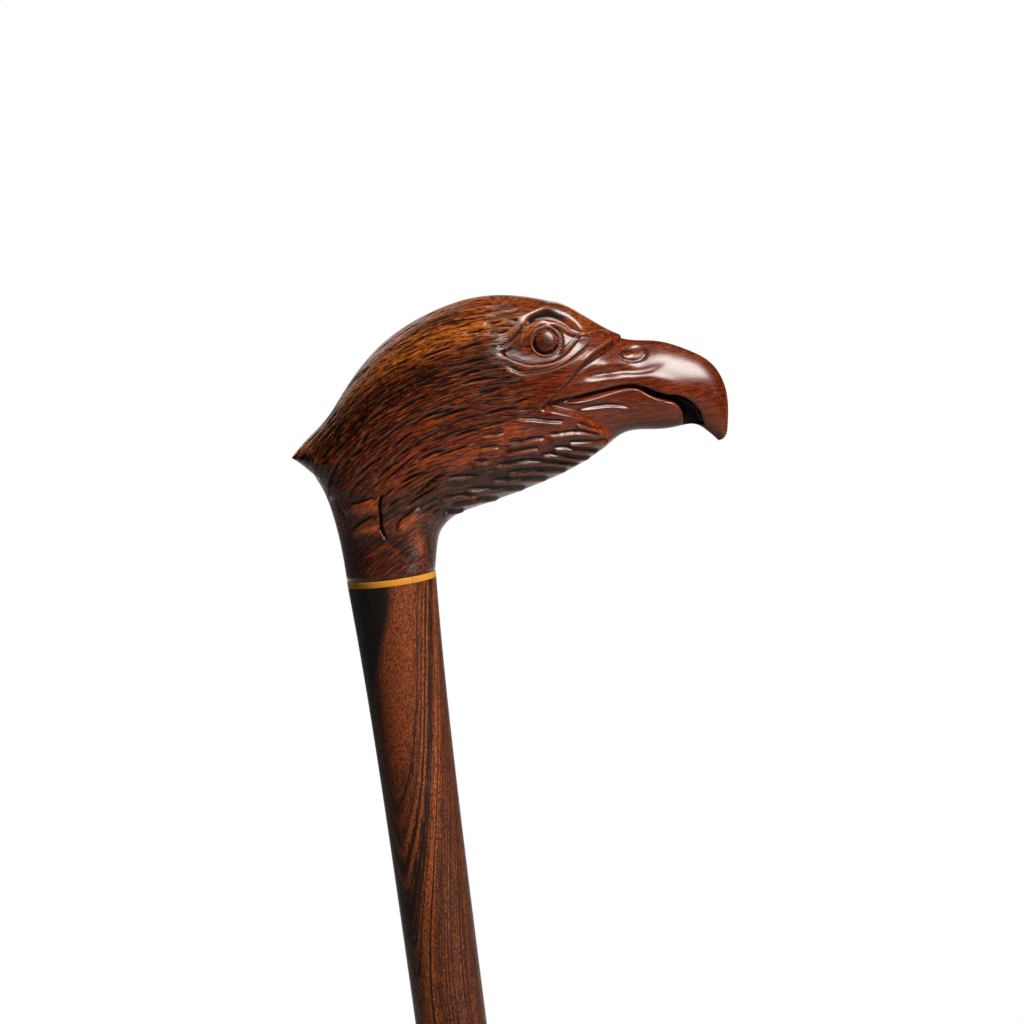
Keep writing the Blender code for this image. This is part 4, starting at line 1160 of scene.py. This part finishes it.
def bored_head():
    """Points and faces of the whole handle, and the values that its wood reads at each point.

    Blind bore, seat and head have all the columns. From the cere on, the beak has every other
    one, and three triangles join each of its columns to two of the head's. The two rows of the
    bore read nothing.
    """
    turn = 2 * math.pi * np.arange(COLUMNS) / COLUMNS
    around = turn + SIDE_CROWDING / 2 * np.sin(2 * turn)
    head = [run_of_rows(*run) for run in HEAD_ROWS]
    beak = [run_of_rows(*run) for run in BEAK_ROWS]
    ending = np.sin(np.linspace(0, math.pi / 2, ROUND_END_ROWS, endpoint=False))
    beak.append(PLACES[-1] - HOOK_END_LENGTH + HOOK_END_LENGTH * ending)
    head_places, beak_places = np.concatenate(head), np.concatenate(beak)
    carved, values = carved_head(np.concatenate([head_places, beak_places]), around)
    carved[0, :, :2] *= 1 - JOINT_FILLET / COLLAR_RADIUS
    carved[0, :, 2] = -GLUE_LINE / MM
    carved, split = carved * MM + [0, 0, SEAT], len(head_places)
    start = math.pi + around
    bore = np.stack([np.cos(start), -np.sin(start)], axis=1) * STUD_BORE_RADIUS
    heights = (STUD_HIGH.z + BORE_END_GAP, SEAT - GLUE_LINE)
    bored = [np.concatenate([bore, np.full((COLUMNS, 1), h)], axis=1) for h in heights]
    wide = np.concatenate([bored, carved[:split]])
    thin = carved[split:, ::2]
    points = np.concatenate([wide.reshape(-1, 3), thin.reshape(-1, 3)])
    faces = []
    offset = 0
    for rows in (wide, thin):
        index = offset + np.arange(rows.shape[0] * rows.shape[1]).reshape(rows.shape[:2])
        faces += quads(index[:-1], index[1:])
        offset += index.size
        if rows is wide:
            last, first = index[-1], index[0]
    beak_row = last[-1] + 1 + np.arange(COLUMNS // 2)
    next_row, middle = np.roll(beak_row, -1), last[1::2]
    faces += triangles(last[::2], middle, beak_row)
    faces += triangles(middle, np.roll(last[::2], -1), next_row)
    faces += triangles(middle, next_row, beak_row)
    tip_row = len(points) - COLUMNS // 2 + np.arange(COLUMNS // 2)
    points = np.concatenate([points, [wide[0].mean(0)], [thin[-1].mean(0)]])
    faces += triangles(np.roll(first, -1), first, len(points) - 2)
    faces += triangles(tip_row, np.roll(tip_row, -1), len(points) - 1)
    stores = {}
    for name, value in values.items():
        plain = np.zeros(2 * COLUMNS)
        parts = [plain, value[:split].ravel(), value[split:, ::2].ravel(), value[-1, :2]]
        stores[name] = np.concatenate(parts)
    return points, faces, stores


GRAIN_LEVELS = 38  # millimetres ahead of the shaft's axis
GRAIN_CLIMB = 0.00105  # for lengths in millimetres
GRAIN_LOW = 7.69  # millimetres above the seat


def grain_of_head(points):
    """Each point in the bent frame of the grain, in millimetres: along it, above it, across.

    The grain climbs steeply from the nape and levels out at GRAIN_LEVELS. The height above it
    is z - GRAIN_LOW there, plus GRAIN_CLIMB (GRAIN_LEVELS - x)^2.5 behind.
    """
    x, y, z = (points[:, i] / MM for i in range(3))
    z = z - SEAT / MM
    behind = np.maximum(GRAIN_LEVELS - x, 0)
    return np.stack([x, z + GRAIN_CLIMB * behind**2.5 - GRAIN_LOW, y], axis=1)


# Carved, oiled and polished hardwood: dark red-brown with near-black streaks, an orange band
# along the crown and orange patches on neck and cheek, dark lines of figure, pale fibres and
# open pores. The cuts and hollows are darkened, partly dark polish and partly painted shade,
# and the jaw's gap is painted black as shade. Painted shade also lies in the neck's crease and
# front cut and under the brow, a broad band darkens the throat, and the eyeball is darkened.
# The raised edges beside the cuts are lightened, partly wear and partly painted highlight. The
# beak is sanded smoother than the feathers. Grain sizes are millimetres along, above and
# across it.
BOARD_GRAIN = (34, 9, 9)
STREAK_GRAIN = (16, 0.55, 2.2)
HEAD_FIBRE_GRAIN = (7, 0.25, 1.0)
HEAD_PORE_GRAIN = (2.6, 0.2, 0.6)
HAIR_GRAIN = (9, 0.4, 1.2)
BOARD_SPAN = (22, 90)  # millimetres above the grain's level, for the colours from first to last
carved_wood, tree = new_material("polished_hardwood_head")
grain = add(tree, "Attribute", attribute_name="grain").node.outputs["Vector"]
along, above, _ = add(tree, "SeparateXYZ", grain).node.outputs
polish, hollow, figure_and_shade, blush = (
    add(tree, "Attribute", attribute_name=name).node.outputs["Fac"]
    for name in ("polish", "hollow", "figure_and_shade", "blush")
)
slow = stretched(tree, grain, BOARD_GRAIN)
streak = stretched(tree, grain, STREAK_GRAIN, 4, 0.65)
wander = add(tree, "Math", slow, 10, above, operation="MULTIPLY_ADD")
wander = add(tree, "Math", streak, 14, wander, operation="MULTIPLY_ADD")
wood = add(
    tree, "ValToRGB", add(tree, "MapRange", wander, *BOARD_SPAN),
    stops=[
        (0, "4a180a"), (0.08, "56220c"), (0.08, "30100a"), (0.14, "260b06"), (0.19, "66200b"),
        (0.23, "903610"), (0.28, "7a280c"), (0.33, "421307"), (0.38, "6c230c"), (0.44, "441507"),
        (0.49, "5a1d0b"), (0.54, "200b05"), (0.61, "1c0905"), (0.65, "6c2e0e"), (0.7, "b4621f"),
        (0.79, "8c4418"), (0.86, "b05c20"),
    ],
)
face = add(tree, "MapRange", above, 22, 34)
front = add(tree, "MapRange", along, 38, 50, 0, 0.7)
front = add(tree, "Math", front, face, operation="MULTIPLY")
horn = add(tree, "MapRange", polish, 0, 1, 0, 0.6)
calm = add(tree, "MapRange", polish, 0, 1, 0.9, 0.7)
for shares in ((along, 40, 52, 1, 0.7), (blush, 0, 1, 1, 0.45)):
    calm = add(tree, "Math", calm, add(tree, "MapRange", *shares), operation="MULTIPLY")
fibre = stretched(tree, grain, HEAD_FIBRE_GRAIN, 2, 0.6)
pore = stretched(tree, grain, HEAD_PORE_GRAIN, 1)
streaked, pale, pored = (
    add(tree, "Math", add(tree, "MapRange", *grains), calm, operation="MULTIPLY")
    for grains in ((streak, 0.49, 0.57), (fibre, 0.52, 0.61, 0, 0.6), (pore, 0.49, 0.57))
)
# Painted shade and dark polish: the hollow value turns the cuts, the hollows and the jaw's gap near-black.
deep = add(tree, "MapRange", hollow, 0.05, 0.18, 0, 0.97)
# Wear and painted highlight: the raised edges beside the cuts are lightened.
worn_edge_highlight = add(tree, "MapRange", hollow, -0.06, -0.2, 0, 0.25)
for share, colour in (
    (front, "70250c"), (blush, "d0642c"), (horn, "62240e"), (streaked, "120502"),
    (pale, "b8561e"), (pored, "0e0402"), (figure_and_shade, "100402"), (deep, "060201"), (worn_edge_highlight, "b05a2a"),
):
    wood = add(tree, "Mix", share, wood, colour, data_type="RGBA")
hair = add(tree, "MapRange", stretched(tree, grain, HAIR_GRAIN, 2, 0.6), 0.4, 0.56)
rough = add(tree, "MapRange", along, 36, 46, 1, 0.12)
smooth = add(tree, "MapRange", polish, 0, 1, 1, 0.15)
rough = add(tree, "Math", rough, smooth, operation="MULTIPLY")
height = add(tree, "Math", hair, rough, operation="MULTIPLY")
finish(tree, {
    "Base Color": wood,
    "Roughness": add(tree, "MapRange", deep, 0, 1, 0.25, 0.32),
    "Normal": add(tree, "Bump", Strength=0.5, Distance=0.12 * MM, Height=height),
    "IOR": 1.42,
})
points, faces, stores = bored_head()
head = made("eagle_handle", points, faces, carved_wood, "cane", "carved_hardwood", 180)
store = head.data.attributes.new("grain", "FLOAT_VECTOR", "POINT")
store.data.foreach_set("vector", grain_of_head(points).ravel())
for name, values in stores.items():
    store = head.data.attributes.new(name, "FLOAT", "POINT")
    store.data.foreach_set("value", values)


# Studio
# A pale floor that turns white behind the cane, a tall soft key lamp from the upper right front,
# weak lamps overhead and from behind, and a dim room all round. One more lamp lights the side
# that faces away, and isn't reflected.

FLOOR_RADIUS = 14.0
WALL_DISTANCE, WALL_HALF_WIDTH, WALL_HEIGHT = 4.8, 1.5, 2.2
FADE = (0.7, 2.6)  # metres behind the cane, where the floor turns white
FADE_SIDE = (1.2, 2.2)  # metres to each side, where it turns pale again
ROOM_GREY = 0.018  # what the camera and the varnish see of the room
FILL, FILL_COLOUR = 0.02, (0.86, 0.92, 1.0, 1)  # what the room throws on the cane
LAMPS = {  # direction from the target, distance, width and height, watts, colour
    "key_lamp": ((0.55, -0.55, 0.6), 2.4, (0.8, 1.4), 110, (1, 0.98, 0.95)),
    "sky_lamp": ((0.35, -0.1, 1), 2.2, (1.6, 1.6), 4, (0.82, 0.88, 1)),
    "back_lamp": ((-0.5, 1, 0.7), 2.6, (1.4, 1.4), 9, (1, 0.98, 0.95)),
    "rear_fill_lamp": ((-0.5, 1, 0.3), 2.6, (2.4, 1.6), 55, (0.95, 0.97, 1)),
}


def seen(tree):
    """1 for rays from the camera, or reflected or let through by gloss or glass."""
    path = add(tree, "LightPath").node.outputs
    both = add(tree, "Math", path["Is Camera Ray"], path["Is Glossy Ray"], operation="MAXIMUM")
    return add(tree, "Math", both, path["Is Transmission Ray"], operation="MAXIMUM")


# Matt paint that turns to plain white with distance behind the cane, and keeps its shadow.
floor_paint, tree = new_material("pale_floor_paint")
x, y, _ = add(tree, "SeparateXYZ", in_millimetres(tree)).node.outputs
smooth = {"interpolation_type": "SMOOTHSTEP"}
fade = add(tree, "MapRange", y, *(metres / MM for metres in FADE), **smooth)
aside = add(tree, "Math", x, operation="ABSOLUTE")
aside = add(tree, "MapRange", aside, *(metres / MM for metres in FADE_SIDE), 1, 0, **smooth)
fade = add(tree, "Math", fade, aside, operation="MULTIPLY")
look = seen(tree)
fade = add(tree, "Math", fade, look, operation="MULTIPLY")
paint = finish(tree, {
    "Base Color": add(tree, "Mix", look, "86827e", "c0beba", data_type="RGBA"),
    "Roughness": 0.9,
})
white = add(tree, "Emission", (1, 1, 1, 1), 1)
both = add(tree, "MixShader", fade, paint, white)
plug(tree, tree.nodes["Material Output"].inputs["Surface"], both)

floor = [(-FLOOR_RADIUS, -FLOOR_RADIUS, 0), (FLOOR_RADIUS, -FLOOR_RADIUS, 0)]
floor += [(FLOOR_RADIUS, FLOOR_RADIUS, 0), (-FLOOR_RADIUS, FLOOR_RADIUS, 0)]
wall = [(-WALL_HALF_WIDTH, WALL_DISTANCE, 0), (WALL_HALF_WIDTH, WALL_DISTANCE, 0)]
wall += [(x, y, WALL_HEIGHT) for x, y, z in wall[::-1]]
for name, corners in (("floor", floor), ("back_wall", wall)):
    surface(name, corners, [(0, 1, 2, 3)], floor_paint)

world = bpy.data.worlds.new("room")
world.use_nodes = True
bpy.context.scene.world = world
tree = world.node_tree
fill = add(tree, "Background", FILL_COLOUR, FILL)
grey = add(tree, "Background", (1, 1, 1, 1), ROOM_GREY)
both = add(tree, "MixShader", seen(tree), fill, grey)
plug(tree, tree.nodes["World Output"].inputs["Surface"], both)

# The lamps and the camera look at the middle of the picture, just ahead of the neck.
target = np.array([0.0364, 0, RING_LOW.z + 15.3 * MM])
for name, (direction, distance, size, power, colour) in LAMPS.items():
    direction = np.array(direction) / np.linalg.norm(direction)
    light = bpy.data.lights.new(name, "AREA")
    light.shape, light.energy, light.color = "RECTANGLE", power, colour
    light.size, light.size_y = size
    lamp = placed(name, light)
    lamp.rotation_euler = (-Vector(direction)).to_track_quat("-Z", "Y").to_euler()
    lamp.location = target + direction * distance
    lamp.visible_glossy = name != "rear_fill_lamp"

ELEVATION, ROLL = math.radians(5.3), math.radians(7.46)
DISTANCE = 1.1
VIEW_WIDTH = 0.2909  # of the picture, at the target
SENSOR_WIDTH = 36
camera = placed("camera", bpy.data.cameras.new("camera"))
camera.data.sensor_width = SENSOR_WIDTH
camera.data.lens = SENSOR_WIDTH * DISTANCE / VIEW_WIDTH
camera.data.clip_start, camera.data.clip_end = 0.05, 60
back = Vector((0, -math.cos(ELEVATION), math.sin(ELEVATION)))
right = Vector((1, 0, 0))
up = back.cross(right)
tilted_right = right * math.cos(ROLL) - up * math.sin(ROLL)
tilted_up = right * math.sin(ROLL) + up * math.cos(ROLL)
facing = Matrix((tilted_right, tilted_up, back)).transposed().to_4x4()
camera.matrix_world = Matrix.Translation(Vector(target) + back * DISTANCE) @ facing
bpy.context.scene.camera = camera
bpy.context.scene.view_settings.view_transform = "Standard"
